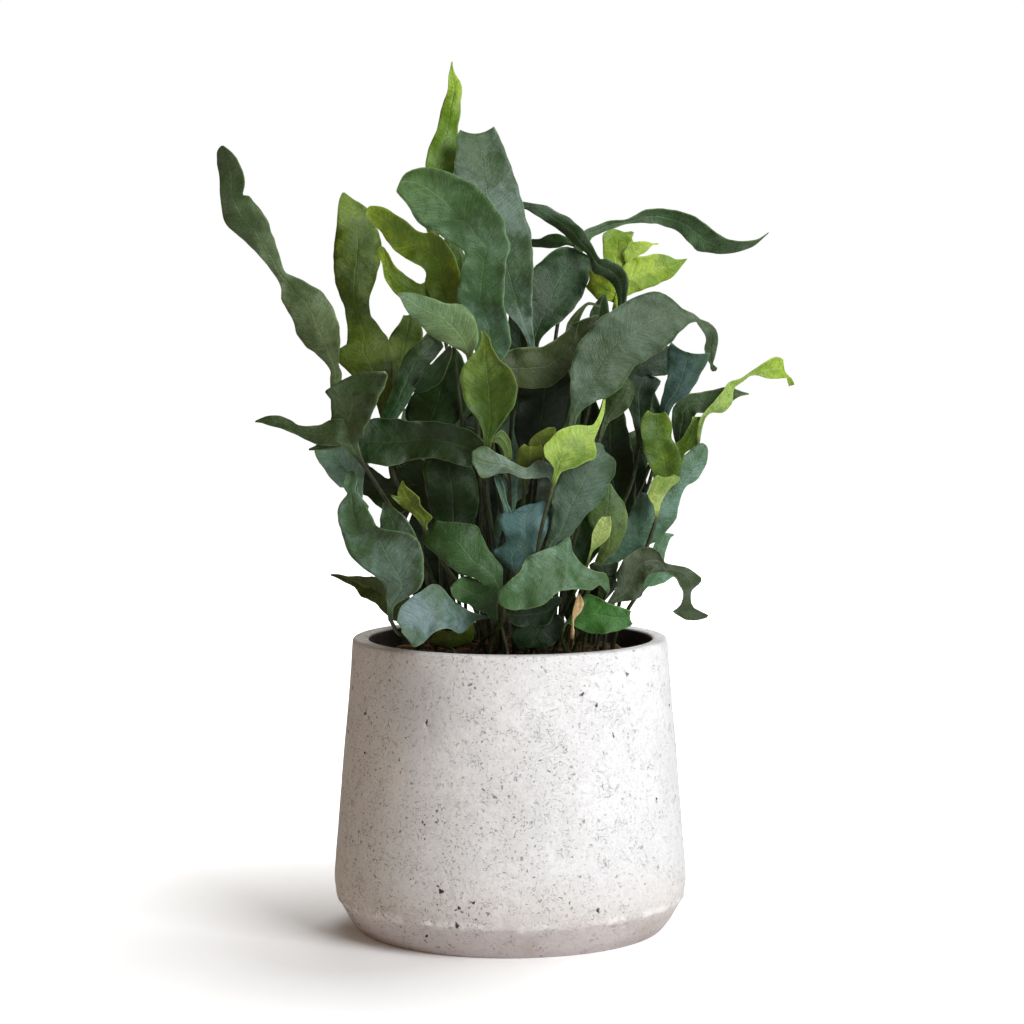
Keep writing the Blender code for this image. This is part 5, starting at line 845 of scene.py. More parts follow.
    "frond_diagonal": ((-8, -44), [
        (-64, -52, -2, [(-4, 160, -2.2, 161), (-8, 167, -3.8, 170), (-13, 170, -4, 177.5),
            (-18, 173.3, -7.5, 183), (-24.5, 175, -10.5, 187), (-29, 177.8, -13.5, 193),
            (-33.5, 181.8, -15.8, 198), (-38, 186, -20, 199.8), (-42, 189.2, -27, 200.6),
            (-43.3, 192, -33, 201.2), (-42, 196.5, -37, 201.5)])]),
    "frond_low_green": ((-16, -42), [
        (-56, -66, 0, [(-8, 150, -6, 151), (-12, 155.5, -6.5, 158), (-17, 157, -6, 164),
            (-20.5, 159.8, -8, 168), (-24, 161, -13.5, 170.3), (-27.3, 163, -18.5, 173.3),
            (-29.3, 165.5, -23.5, 174), (-29.8, 168.5, -27.3, 171)])]),
    "frond_low_olive": ((-26, -48), [
        (-48, -52, 0, [(-34, 138.5, -24, 138.8), (-40, 140, -19, 141.5), (-39, 143.6, -17.8, 146),
            (-35, 147.4, -19, 151)])]),
}

# The far side, which the front hides: stand, lean and reach of each frond, with two or three lobes
BACK = [(-54, 34, 70, 92, 96, 4), (-30, 44, 92, 120, 118, 5), (-8, 36, 70, 108, 132, 4),
        (14, 52, 100, 100, 112, 5), (36, 40, 80, 118, 124, 4), (68, 22, 40, 80, 92, 4),
        (-4, 66, 112, 54, 86, 4)]


def seen(x, z, y):
    """The point at depth y behind the place (x, z) of the upright plane through the pot's axis."""
    k = (y - EYE[1]) / -EYE[1]
    return np.stack(np.broadcast_arrays(EYE[0] + (x - EYE[0]) * k, y, EYE[2] + (z - EYE[2]) * k), -1)


def back_fronds():
    """Fronds for the far side, drawn by rule: a leaning main blade with lobes to either side."""
    draw = random.Random(41)
    made = {}
    for index, (x, near, far, reach, height, lobes) in enumerate(BACK):
        base_z = 168 + draw.uniform(0, 22)
        lean = draw.uniform(-0.12, 0.12)
        width = draw.uniform(9.5, 12.5)

        def middle(t):
            return x * (0.45 + 0.5 * t) + 10 * lean * t, base_z + height * (t - 0.16 * t * t)

        blade = []
        for step in range(10):
            t = step / 9
            cx, cz = middle(t)
            half = max(width * math.sin(math.pi * min(1, t * 0.94 + 0.05)) ** 0.75, 0.7)
            half *= 1 + 0.16 * math.sin(9 * t + index)
            blade.append((cx - half, cz - 0.2 * half, cx + half, cz + 0.2 * half))
        blades = [(near, far, -8, blade)]
        for lobe in range(lobes - 1):
            side = -1 if lobe % 2 else 1
            start = 0.24 + 0.56 * lobe / (lobes - 1) + draw.uniform(-0.03, 0.03)
            length = draw.uniform(26, 36)
            cx, cz = middle(start)
            rows = []
            for step in range(5):
                t = step / 4
                px, pz = cx + side * length * 0.62 * t, cz + length * (0.25 + 0.62 * t)
                half = max(6.4 * math.sin(math.pi * min(1, 0.2 + 0.78 * t)) ** 0.8, 0.7)
                low = (px - side * 0.55 * half, pz + 0.8 * half)
                high = (px + side * 0.55 * half, pz - 0.8 * half)
                rows.append((*low, *high) if side > 0 else (*high, *low))
            blades.append((None, near + (far - near) * (start + 0.35), 0, rows))
        root = (x * 0.42, min(18 + 0.4 * near, 44))
        made[f"frond_back_{index + 1}"] = (root, blades)
    return made


def spread_roots(fronds):
    """Moves the roots apart until each has its spacing, inside a circle on the mix."""
    names = list(fronds)
    places = np.array([fronds[name][0] for name in names], float)
    for _ in range(400):
        apart = places[:, None] - places[None]
        far = np.hypot(*np.moveaxis(apart, -1, 0))
        np.fill_diagonal(far, 99)
        push = np.maximum(ROOT_SPACING - far, 0) / np.maximum(far, 0.01)
        places += 0.3 * (push[..., None] * apart).sum(1)
        radius = np.hypot(*places.T)
        places *= np.minimum(1, ROOT_CIRCLE / np.maximum(radius, 1))[:, None]
    return dict(zip(names, places))


def smooth_curve(points, steps):
    """A Catmull-Rom curve through the points, with the given number of steps in each span."""
    points = np.asarray(points, float)
    padded = np.vstack([2 * points[0] - points[1], points, 2 * points[-1] - points[-2]])
    out = [points[0]]
    for i, count in enumerate(steps):
        a, b, c, d = padded[i:i + 4]
        for t in np.arange(1, count + 1) / count:
            out.append(0.5 * (2 * b + (c - a) * t + (2 * a - 5 * b + 4 * c - d) * t * t
                              + (3 * b - a - 3 * c + d) * t ** 3))
    return np.array(out)


def thinned(rows, params):
    """The rows without those that lie within THINNED_BY of the line between their neighbours."""
    rows, params = list(rows), list(params)
    while True:
        loss = []
        for i in range(1, len(rows) - 1):
            before, here, after = rows[i - 1:i + 2]
            step = after - before
            length = max(np.hypot(*(step[:2] + step[2:])) / 2, 0.1)
            share = ((here - before) @ step) / max(step @ step, 1e-6)
            off = np.abs(before + share * step - here).max()
            loss.append(off + (99 if length > LONGEST_STEP else 0))
        if not loss or min(loss) > THINNED_BY:
            return np.array(rows), np.array(params)
        least = 1 + int(np.argmin(loss))
        del rows[least], params[least]


class Blade:
    """Rings of a stipe and blade: left, middle and right in the front view, with a depth for each."""

    def __init__(self, name, number, depths, rows, root=None):
        draw = random.Random(f"{name}{number}")
        near, far, bow = depths
        rows = np.asarray(rows, float)
        spans = np.hypot(*(np.diff((rows[:, :2] + rows[:, 2:]) / 2, axis=0).T))
        counts = [max(1, math.ceil(span / RING_STEP - 0.4)) for span in spans]
        params = np.concatenate([[0.0], *[i + np.arange(1, c + 1) / c for i, c in enumerate(counts)]])
        rows, self.params = thinned(smooth_curve(rows, counts), params)
        left, right = rows[:, :2], rows[:, 2:]
        middle = (left + right) / 2
        along = np.concatenate([[0], np.cumsum(np.hypot(*np.diff(middle, axis=0).T))])
        part = along / along[-1]
        depth = near + (far - near) * part + 4 * bow * part * (1 - part)
        across = np.hypot(*(right - left).T)
        facing = np.clip(-depth / 40, -1, 1)
        lean = 0.9 * facing * middle[:, 0] / SHELL_RADIUS
        rise = 0.28 * facing
        twist = np.interp(part, (0, 1), (draw.uniform(-0.3, 0.3), draw.uniform(-0.45, 0.45)))
        lean = lean + twist * np.minimum(1, part * 4 + (number == 0))
        cup = draw.choice((-1, 1)) * draw.uniform(0.05, 0.11)
        wave = draw.uniform(0.045, 0.08) * across * np.minimum(1, part * 5)
        length, start = draw.uniform(30, 42), draw.uniform(0, 6.28)
        ripple = wave * np.sin(2 * math.pi * along / length + start)
        ripple_right = wave * np.sin(2 * math.pi * along / (0.87 * length) + start + 2.2)
        self.xz = np.stack([left, middle, right], 1)
        out_left, out_right = left - middle, right - middle
        self.y = np.stack([depth + lean * out_left[:, 0] + rise * out_left[:, 1] + ripple,
                           depth + cup * across,
                           depth + lean * out_right[:, 0] + rise * out_right[:, 1] + ripple_right], 1)
        self.stem = 0
        if root is not None:
            self.add_stipe(root)
        self.shift = np.zeros(len(self.y))

    def add_stipe(self, root):
        """Rings of a round stipe from its hole in the mix to the foot of the blade."""
        top = soil_height(math.hypot(*root))
        start = np.array((root[0], root[1], top - STIPE_DEPTH))
        rise = np.array((root[0], root[1], top + 1.5))
        foot = seen(*self.xz[0, 1], self.y[0, 1])
        ahead = seen(*self.xz[1, 1], self.y[1, 1]) - foot
        reach = np.linalg.norm(foot - rise)
        pull = foot - ahead / np.linalg.norm(ahead) * reach * 0.3
        lift = rise + np.array((0, 0, reach * 0.42))
        curve = [start]
        count = max(3, round(reach / 27))
        for t in np.arange(count) / count:
            curve.append((1 - t) ** 3 * rise + 3 * (1 - t) ** 2 * t * lift
                         + 3 * (1 - t) * t * t * pull + t ** 3 * foot)
        curve = np.array(curve)
        k = -EYE[1] / (curve[:, 1] - EYE[1])
        flat = np.stack([EYE[0] + (curve[:, 0] - EYE[0]) * k, EYE[2] + (curve[:, 2] - EYE[2]) * k], -1)
        side = self.xz[0, 2] - self.xz[0, 0]
        side = side / np.linalg.norm(side)
        turn = np.minimum(1, np.arange(len(curve)) / len(curve) * 1.2)[:, None]
        side = (1 - turn) * np.array((1.0, 0.0)) + turn * side
        side /= np.linalg.norm(side, axis=1)[:, None]
        rings = np.stack([flat - side * STIPE_RADIUS, flat, flat + side * STIPE_RADIUS], 1)
        self.xz = np.concatenate([rings, self.xz])
        self.y = np.concatenate([np.repeat(curve[:, 1:2], 3, 1), self.y])
        self.stem = len(curve)


def surface_at(blade, spot):
    """The ring (as a fraction) and depth of the blade at the place on it that is nearest to a spot."""
    rings = len(blade.y) - 1
    along = np.linspace(blade.stem, rings, 6 * (rings - blade.stem) + 1)
    across = np.linspace(0, 2, 13)
    lower, side = np.minimum(along.astype(int), rings - 1), np.minimum(across.astype(int), 1)
    u, v = (along - lower)[:, None, None], (across - side)[None, :, None]
    held = np.concatenate([blade.xz, blade.y[..., None]], -1)

    def corner(i, j):
        return held[(lower + i)[:, None], (side + j)[None]]

    place = (1 - u) * ((1 - v) * corner(0, 0) + v * corner(0, 1))
    place = place + u * ((1 - v) * corner(1, 0) + v * corner(1, 1))
    best = np.unravel_index(np.argmin(np.linalg.norm(place[..., :2] - spot, axis=-1)), place.shape[:2])
    return along[best[0]], place[best][2]


def build_blades(fronds, roots):
    """The rings of every blade. A lobe starts within the blade that it grows from."""
    made = {}
    for name, (_, blades) in fronds.items():
        row = []
        for number, (near, far, bow, stations) in enumerate(blades):
            if number:
                stations = np.asarray(stations, float)
                foot = (stations[0, :2] + stations[0, 2:]) / 2
                near = surface_at(row[0], foot)[1]
                blade = Blade(name, number, (near, far, bow), stations)
                found = [surface_at(row[0], spot) for spot in blade.xz[0]]
                blade.y[0] = [depth for _, depth in found]
                blade.y[1] += 0.5 * (blade.y[0, 1] - near)
                blade.joint = found[1][0]
            else:
                blade = Blade(name, number, (near, far, bow), stations, roots[name])
            row.append(blade)
        made[name] = row
    return made


def bend_clear(made):
    """Bends the blades apart along the lines of sight until each passes before or behind the others.

    Sliding a ring along its line of sight leaves the front view as it is, so every place where two blades
    share a line of sight only needs a depth between them."""
    cells, ring_a, share, base, part_of, offsets, strips = [], [], [], [], [], [], []
    total = 0
    fine = 1.2    # step of the samples on a blade
    many = 4096   # more than the number of parts
    for name, row in made.items():
        for blade in row:
            count = len(blade.y)
            offsets.append(total)
            strips.append((blade, name))
            for i in range(count - 1):
                corner = blade.xz[i:i + 2]
                rows = max(2, int(np.linalg.norm(corner[1, 1] - corner[0, 1]) / fine) + 1)
                wide = np.linalg.norm(corner[:, 2] - corner[:, 0], axis=-1).max()
                cols = max(2, int(wide / 2 / fine) + 1)
                u, v = np.meshgrid((np.arange(rows) + 0.5) / rows, (np.arange(cols) + 0.5) / cols,
                                   indexing="ij")
                u, v = u.ravel(), v.ravel()
                w = np.stack([(1 - u) * (1 - v), (1 - u) * v, u * (1 - v), u * v], -1)
                for half in (0, 1):
                    xz = corner[:, half:half + 2].reshape(4, 2)
                    depth = blade.y[i:i + 2, half:half + 2].reshape(4)
                    cells.append(np.floor(w @ xz / CELL).astype(int))
                    base.append(w @ depth)
                    share.append(u)
                    ring_a.append(np.full(len(u), total + i))
                    part_of.append(np.full(len(u), 2 * (len(strips) - 1) + (i < blade.stem)))
            total += count
    cells = np.concatenate(cells)
    key = (cells[:, 0] + 400) * 1000 + cells[:, 1] + 100
    base, share = np.concatenate(base), np.concatenate(share)
    ring_a, part_of = np.concatenate(ring_a), np.concatenate(part_of)
    names = list(made)
    frond_of = np.array([names.index(strips[p // 2][1]) for p in range(2 * len(strips))])
    order = np.lexsort((part_of, key))
    key, base, share, ring_a, part_of = (a[order] for a in (key, base, share, ring_a, part_of))
    starts = np.concatenate([[0], np.flatnonzero(np.diff(key * many + part_of)) + 1])
    group_key, group_part = key[starts], part_of[starts]
    sizes = np.diff(np.concatenate([starts, [len(key)]]))
    mean_ring = np.add.reduceat(ring_a + share, starts) / sizes
    lower = np.minimum(mean_ring.astype(int), total - 2)
    frac = mean_ring - lower
    pairs_a, pairs_b = [], []
    for reach in range(1, 12):
        a = np.arange(len(group_key) - reach)
        b = a + reach
        shared = (group_key[a] == group_key[b]) & (frond_of[group_part[a]] != frond_of[group_part[b]])
        pairs_a.append(a[shared])
        pairs_b.append(b[shared])
    pairs_a, pairs_b = np.concatenate(pairs_a), np.concatenate(pairs_b)
    mean = np.add.reduceat(base, starts) / sizes
    # one order for each pair of parts, so that they never cut through each other
    code = group_part[pairs_a] * many + group_part[pairs_b]
    which = np.unique(code, return_inverse=True)[1]
    vote = np.bincount(which, weights=np.tanh((mean[pairs_b] - mean[pairs_a]) / 6))
    sign = np.where(vote[which] >= 0, 1.0, -1.0)
    shift = np.zeros(total)
    held = np.zeros(total)
    for (blade, _), begin in zip(strips, offsets):
        held[begin:begin + len(blade.y)] = 1
        if blade.stem:
            held[begin:begin + 3] = 0
            ramp = min(4, blade.stem)
            held[begin + 2:begin + 2 + ramp] = np.arange(1, ramp + 1) / (ramp + 1)
    for _ in range(BENDING_ROUNDS):
        depth = base + (1 - share) * shift[ring_a] + share * shift[np.minimum(ring_a + 1, total - 1)]
        low = np.minimum.reduceat(depth, starts)
        high = np.maximum.reduceat(depth, starts)
        front = np.where(sign > 0, high[pairs_a], high[pairs_b])
        behind = np.where(sign > 0, low[pairs_b], low[pairs_a])
        lack = np.clip(CLEARANCE - (behind - front), 0, 6)
        push = np.zeros(len(starts))
        weight = np.zeros(len(starts))
        for pair, way in ((pairs_a, -sign), (pairs_b, sign)):
            push += np.bincount(pair, weights=0.5 * lack * way, minlength=len(starts))
            weight += np.bincount(pair, weights=(lack > 0) * 1.0, minlength=len(starts))
        step = np.where(weight > 0, push / np.maximum(weight, 1), 0)
        gather = (np.bincount(lower, weights=(1 - frac) * step, minlength=total)
                  + np.bincount(lower + 1, weights=frac * step, minlength=total))
        number = (np.bincount(lower, weights=(1 - frac) * (weight > 0), minlength=total)
                  + np.bincount(lower + 1, weights=frac * (weight > 0), minlength=total))
        shift += held * 0.8 * np.where(number > 0, gather / np.maximum(number, 0.5), 0)
        for (blade, _), begin in zip(strips, offsets):
            line = shift[begin:begin + len(blade.y)]
            hold = held[begin:begin + len(blade.y)]
            line[1:-1] += hold[1:-1] * 0.25 * (line[:-2] + line[2:] - 2 * line[1:-1])
            line[-1] += 0.3 * (line[-2] - line[-1])
        main_begin = 0
        for (blade, name), begin in zip(strips, offsets):
            if hasattr(blade, "joint"):
                line = shift[begin:begin + len(blade.y)]
                fade = np.clip(1 - np.arange(len(line)) / 3, 0, 1)
                ring = main_begin + blade.joint
                line += fade * (np.interp(ring, np.arange(total), shift) - line[0])
            else:
                main_begin = begin
    for (blade, _), begin in zip(strips, offsets):
        blade.shift = shift[begin:begin + len(blade.y)].copy()


# Colour of each frond's face, from the foot of its blade to its tip.
FACE = {
    "frond_long_left": ("#7c8a66", "#74876c"), "frond_olive_left": ("#6a7c3c", "#7f9448"),
    "frond_hand": ("#6c8030", "#93a94c"), "frond_bright_top": ("#8aa64c", "#9bb65c"),
    "frond_tall_front": ("#8aa69c", "#64804c"), "frond_tall_back": ("#788c84", "#7f8f86"),
    "frond_arc": ("#587058", "#6a836a"), "frond_long_right": ("#5c7a58", "#6a8460"),
    "frond_bright_lobed": ("#9ab254", "#a9bd60"), "frond_oval_dark": ("#486648", "#668470"),
    "frond_big_right": ("#74897a", "#70826a"), "frond_olive_right": ("#66765a", "#58623a"),
    "frond_pointed_front": ("#6f8a50", "#7f9452"), "frond_curled": ("#8a9c70", "#7b9478"),
    "frond_star": ("#687a5e", "#6a7c64"), "frond_pale_left": ("#8aa59c", "#93ada5"),
    "frond_dark_bar": ("#526350", "#566a5a"), "frond_folded_left": ("#5a8070", "#556440"),
    "frond_dark_middle": ("#40603a", "#4c7040"), "frond_dark_inner": ("#34442e", "#3c5034"),
    "frond_blue_upright": ("#56706c", "#648082"), "frond_dark_right": ("#48604c", "#505f68"),
    "frond_pale_twist": ("#8ea474", "#a6bf4f"), "frond_right_tongue": ("#4c6048", "#71836a"),
    "frond_fork": ("#688230", "#768e34"), "frond_pale_cup": ("#a8b87c", "#b0c084"),
    "frond_broad_right": ("#587a68", "#86a098"), "frond_low_right_back": ("#6a9482", "#8fa8a0"),
    "frond_hook": ("#5c6854", "#647058"), "frond_olive_blade": ("#68783e", "#6f8a68"),
    "frond_pale_small": ("#a2b480", "#adbd8a"), "frond_blue_centre": ("#586e60", "#627868"),
    "frond_bright_centre": ("#a0b86a", "#aec67e"), "frond_olive_behind": ("#5c6c34", "#687838"),
    "frond_yellow_small": ("#6f7a34", "#90a455"), "frond_grey_centre": ("#82928a", "#8a9a92"),
    "frond_blue_lobed": ("#5c7a78", "#64848a"), "frond_front_centre": ("#749078", "#7f9c86"),
    "frond_low_right": ("#4f7c44", "#5f9150"), "frond_dry": ("#b8986a", "#cbb088"),
    "frond_low_dark": ("#3c5844", "#4a6058"), "frond_tufts_right": ("#46562c", "#4c6030"),
    "frond_front_left": ("#7c9094", "#8699a0"), "frond_sword_left": ("#56663a", "#5e7040"),
    "frond_broad_left": ("#788d85", "#80958c"), "frond_dark_left": ("#465c28", "#405224"),
    "frond_twin_tip": ("#7f9044", "#90a452"), "frond_green_oval": ("#456038", "#4a6638"),
    "frond_diagonal": ("#5c7858", "#647f60"), "frond_low_green": ("#567848", "#5c7c4e"),
    "frond_low_olive": ("#7c8a48", "#84924e"),
}
RUFFLE = 1.35       # how far a broad blade's margin waves to either side, in millimetres
FINE_STEP = 2.3
COLUMNS = 15
LEAF_THICKNESS = 0.5


def linear(code):
    """A colour in the renderer's own scale, from its usual six figures."""
    parts = np.array([int(code[i:i + 2], 16) for i in (1, 3, 5)]) / 255
    return np.where(parts < 0.04045, parts / 12.92, ((parts + 0.055) / 1.055) ** 2.4)


def leaf_material():
    """Leathery leaf: a pale rib and margin, side veins, a patchy wax bloom, a darker stipe."""
    shade = Shade("fern_leaf")
    spot = shade.place()

    def held(name):
        return shade.term("ShaderNodeAttribute", {"attribute_name": name}, output=2)

    tint = shade.node("ShaderNodeAttribute", {"attribute_name": "tint"}).outputs["Color"]
    across, along, margin = held("across"), held("along"), held("margin")
    under, stipe = held("under"), held("stipe")
    cloud = shade.noise(spot, 32.0, 3.0, 0.55)
    mottle = shade.noise(spot, 190.0, 4.0, 0.65)
    fleck = shade.noise(spot, 1500.0, 2.0, 0.7)
    wave = shade.noise(spot, 62.0, 2.0, 0.5)
    side = abs(across)
    slant = along - 0.8 * side
    grain_of_leaf = shade.node("ShaderNodeCombineXYZ", None,
                               {0: 1.5 * slant, 1: 0.22 * across, 2: 9.0 * cloud})
    streak = shade.noise(grain_of_leaf.outputs[0], 0.9, 3.0, 0.6)
    rib = 1.0 - shade.step(side, 0.15, 0.6)
    beside = 1.0 - shade.step(side, 0.5, 2.4)
    branch = 1.0 - shade.step(abs(((slant + 1.6 * (mottle - 0.5)) / 6.2).wrapped() - 0.5), 0.02, 0.09)
    branch = branch * shade.step(side, 0.8, 2.0) * shade.step(margin, 0.6, 2.0)
    net = shade.node("ShaderNodeTexVoronoi", {"feature": "DISTANCE_TO_EDGE"},
                     {"Vector": spot, "Scale": 620.0})
    mesh_lines = 1.0 - shade.step(Term(shade, net.outputs["Distance"]), 0.02, 0.12)
    rim = 1.0 - shade.step(margin, 0.18, 0.62)

    def toned(colour, red, green, blue):
        return shade.mix(1.0, colour, (red, green, blue, 1), "MULTIPLY")

    patch = cloud + 0.45 * (mottle - 0.5)
    colour = shade.mix(0.85 * shade.step(patch, 0.56, 0.40), tint, toned(tint, 0.58, 0.74, 0.36))
    bloom = shade.step(patch, 0.46, 0.64) * (1.0 - 0.7 * under) * (0.55 + 0.9 * (streak - 0.2))
    colour = shade.mix(0.85 * bloom, colour, toned(colour, 1.62, 1.58, 1.72))
    colour = shade.mix(0.75 * shade.step(streak, 0.60, 0.38), colour, toned(colour, 0.66, 0.74, 0.60))
    colour = shade.mix(0.45 * shade.step(fleck, 0.60, 0.40), colour, toned(colour, 0.72, 0.76, 0.66))
    colour = shade.mix(0.05 * branch, colour, (0.16, 0.21, 0.12, 1))
    colour = shade.mix(0.06 * mesh_lines, colour, toned(colour, 0.5, 0.6, 0.45))
    colour = shade.mix(0.2 * beside, colour, toned(colour, 0.7, 0.8, 0.62))
    colour = shade.mix(0.35 * under, colour, (0.10, 0.16, 0.05, 1))
    pale = toned(shade.mix(0.5, colour, (0.12, 0.16, 0.08, 1)), 2.2, 2.1, 1.8)
    colour = shade.mix(0.42 * rib * (0.45 + 0.55 * under) * shade.step(cloud, 0.36, 0.6), colour, pale)
    colour = shade.mix(0.42 * rim, colour, pale)
    stalk = shade.mix(shade.step(mottle, 0.35, 0.65), (0.018, 0.022, 0.008, 1), (0.045, 0.058, 0.018, 1))
    colour = shade.mix(stipe, colour, stalk)
    rough = 0.49 + 0.26 * (mottle - 0.5) + 0.2 * (cloud - 0.5) + 0.1 * under - 0.06 * rib
    return shade.finish(colour, rough,
                        [(rib * under - 0.5 * rib * (1.0 - under), 0.2), (branch, 0.03), (mesh_lines, -0.03),
                         (wave, 2.4), (mottle, 0.70), (streak, 0.24), (fleck, 0.05)],
                        Specular_IOR_Level=0.38)


def dry_material():
    shade = Shade("dry_leaf")
    spot = shade.place()
    mottle = shade.noise(spot, 150.0, 4.0, 0.65)
    crease = shade.noise(shade.place((3, 3, 0.6)), 260.0, 3.0, 0.6)
    colour = shade.mix(shade.step(mottle, 0.35, 0.65), (0.40, 0.27, 0.12, 1), (0.62, 0.46, 0.25, 1))
    colour = shade.mix(0.5 * shade.step(crease, 0.55, 0.7), colour, (0.22, 0.13, 0.05, 1))
    return shade.finish(colour, 0.8, [(crease, 0.5), (mottle, 0.3)], Specular_IOR_Level=0.25)


def eased(params, known, values, spread):
    """Values read along a blade at params, with the corners between the known rings eased."""
    plain = np.stack([np.interp(params, known, column) for column in values.T], -1)
    step = max(float(np.mean(np.diff(params))), 1e-6)
    reach = max(1, int(round(spread / step)))
    kernel = np.hanning(2 * reach + 3)[1:-1]
    kernel /= kernel.sum()
    padded = np.concatenate([2 * plain[:1] - plain[reach:0:-1], plain,
                             2 * plain[-1:] - plain[-2:-reach - 2:-1]])
    return np.stack([np.convolve(column, kernel, "valid") for column in padded.T], -1)


def fine_blade(name, number, blade, rows, faces_tint):
    """The finished mesh of one blade: closed, with its attributes. Rings follow the traced outline."""
    draw = random.Random(f"fine {name}{number}")
    rows = np.asarray(rows, float)
    spans = np.hypot(*np.diff((rows[:, :2] + rows[:, 2:]) / 2, axis=0).T)
    counts = [max(2, math.ceil(span / FINE_STEP)) for span in spans]
    outline = smooth_curve(rows, counts)
    params = np.concatenate([[0.0], *[i + np.arange(1, c + 1) / c for i, c in enumerate(counts)]])
    depth = (blade.y + blade.shift[:, None])[blade.stem:]
    depth = eased(params, blade.params, depth, 0.35 if len(rows) > 6 else 0.25)
    left, right = outline[:, :2], outline[:, 2:]
    v = np.linspace(-1, 1, COLUMNS)
    share = (v + 1) / 2
    wide = (right - left) / np.maximum(np.hypot(*(right - left).T), 0.1)[:, None]
    for edge, sign, seed in ((left, -1, 3.1), (right, 1, 8.7)):
        uneven = np.array([noise.noise(Vector((i * FINE_STEP / 6.5, seed, 7 * number)))
                           for i in range(len(edge))])
        edge += sign * wide * (0.75 * uneven * np.clip(np.hypot(*(right - left).T) / 12, 0, 1))[:, None]
    xz = left[:, None] * (1 - share)[None, :, None] + right[:, None] * share[None, :, None]
    y = (depth[:, :1] * (v * (v - 1) / 2) + depth[:, 1:2] * (1 - v * v) + depth[:, 2:] * (v * (v + 1) / 2))
    middle = (left + right) / 2
    mm = np.concatenate([[0], np.cumsum(np.hypot(*np.diff(middle, axis=0).T))])
    width = np.hypot(*(right - left).T)
    full = np.minimum(1, width / 14) * np.minimum(1, mm / 12)
    for side, sign in ((v < 0, -1), (v > 0, 1)):
        length, begin = draw.uniform(15, 21), draw.uniform(0, 6.28)
        slow = np.array([noise.noise(Vector((m / 21, number + sign, len(name)))) for m in mm])
        ruffle = RUFFLE * full * np.sin(2 * math.pi * mm / length + begin + 2.6 * slow)
        ruffle += 0.35 * RUFFLE * full * np.sin(2 * math.pi * mm / (0.43 * length) + 2 * begin + 3 * slow)
        y += np.where(side, np.abs(v) ** 2.0, 0)[None] * ruffle[:, None]
    blister = np.array([[noise.noise(Vector((m / 12, c / 5, number + 0.1 * len(name))))
                         for c in range(COLUMNS)] for m in mm])
    y += 1.1 * blister * full[:, None] * (1 - 0.6 * (v == 0))[None]
    if number:
        y += (0.5 + 0.9 * np.clip(1 - mm / 5, 0, 1))[:, None]
    if width[-1] > 5:
        blunt = np.clip(1 - (mm[-1] - mm) / 8, 0, 1)[:, None] ** 2
        dip = min(2.8, 0.16 * width[-1]) * (1 - v * v)[None] * blunt
        ahead = (middle[-1] - middle[-2]) / np.hypot(*(middle[-1] - middle[-2]))
        xz -= dip[..., None] * ahead
    place = seen(xz[..., 0], xz[..., 1], y)
    stem = 0
    if blade.stem:
        coarse = np.concatenate([blade.xz[:blade.stem + 1, 1],
                                 (blade.y + blade.shift[:, None])[:blade.stem + 1, 1:2]], 1)
        line = smooth_curve(seen(coarse[:, 0], coarse[:, 1], coarse[:, 2]), [6] * blade.stem)[:-1]
        line[-6:] += (place[0, COLUMNS // 2] - seen(*coarse[-1])) * np.linspace(0.1, 0.9, 6)[:, None]
        flow = np.gradient(line, axis=0)
        flow /= np.linalg.norm(flow, axis=1)[:, None]
        wide = place[0, -1] - place[0, 0]
        turn = np.linspace(0, 1, len(line))[:, None]
        wide = (1 - turn) * np.array((1.0, 0, 0)) * np.linalg.norm(wide) + turn * wide
        wide -= flow * (wide * flow).sum(1)[:, None]
        wide /= np.linalg.norm(wide, axis=1)[:, None]
        rod = line[:, None] + STIPE_RADIUS * 0.86 * np.sin(v * math.pi / 2)[None, :, None] * wide[:, None]
        place = np.concatenate([rod, place])
        stem = len(line)
        mm = np.concatenate([np.full(stem, -1.0), mm])
        width = np.concatenate([np.full(stem, 2 * STIPE_RADIUS), width])
    rings = len(place)
    flow = np.gradient(place[:, COLUMNS // 2], axis=0)
    over = np.gradient(place, axis=1)
    normal = np.cross(np.gradient(place, axis=0), over)
    size = np.linalg.norm(normal, axis=-1, keepdims=True)
    normal = np.where(size > 1e-7, normal / np.maximum(size, 1e-7), 0)
    centre = np.cross(flow, place[:, -1] - place[:, 0])
    centre /= np.maximum(np.linalg.norm(centre, axis=1, keepdims=True), 1e-9)
    normal = np.where((normal * centre[:, None]).sum(-1, keepdims=True) < 0.3, centre[:, None], normal)
    half = np.full((rings, COLUMNS), LEAF_THICKNESS / 2) * (1 - 0.45 * np.abs(v) ** 4)
    swell = np.exp(-(v[None] * width[:, None] / 2 / 0.9) ** 2)
    front, back = half - 0.07 * swell, half + 0.42 * swell * np.minimum(1, width / 10)[:, None]
    if stem:
        round_rod = STIPE_RADIUS * 0.86 * np.cos(v * math.pi / 2)
        fade = np.clip((np.arange(rings) - stem) / 5, 0, 1)[:, None]
        front = fade * front + (1 - fade) * np.maximum(round_rod, 0.05)
        back = fade * back + (1 - fade) * np.maximum(round_rod, 0.05)
    tip = np.clip((rings - 1 - np.arange(rings)) / 3, 0.25, 1)[:, None]
    upper, lower = place - normal * (front * tip)[..., None], place + normal * (back * tip)[..., None]
    points = np.concatenate([upper, lower], 1).reshape(-1, 3)
    faces, n = [], 2 * COLUMNS
    loop = list(range(COLUMNS)) + list(range(2 * COLUMNS - 1, COLUMNS - 1, -1))
    for i in range(rings - 1):
        a, b = i * n, (i + 1) * n
        for p, q in zip(loop, loop[1:] + loop[:1]):
            faces.append((a + p, a + q, b + q, b + p))
    for end, flip in ((0, True), ((rings - 1) * n, False)):
        for c in range(COLUMNS - 1):
            face = (end + c, end + c + 1, end + COLUMNS + c + 1, end + COLUMNS + c)
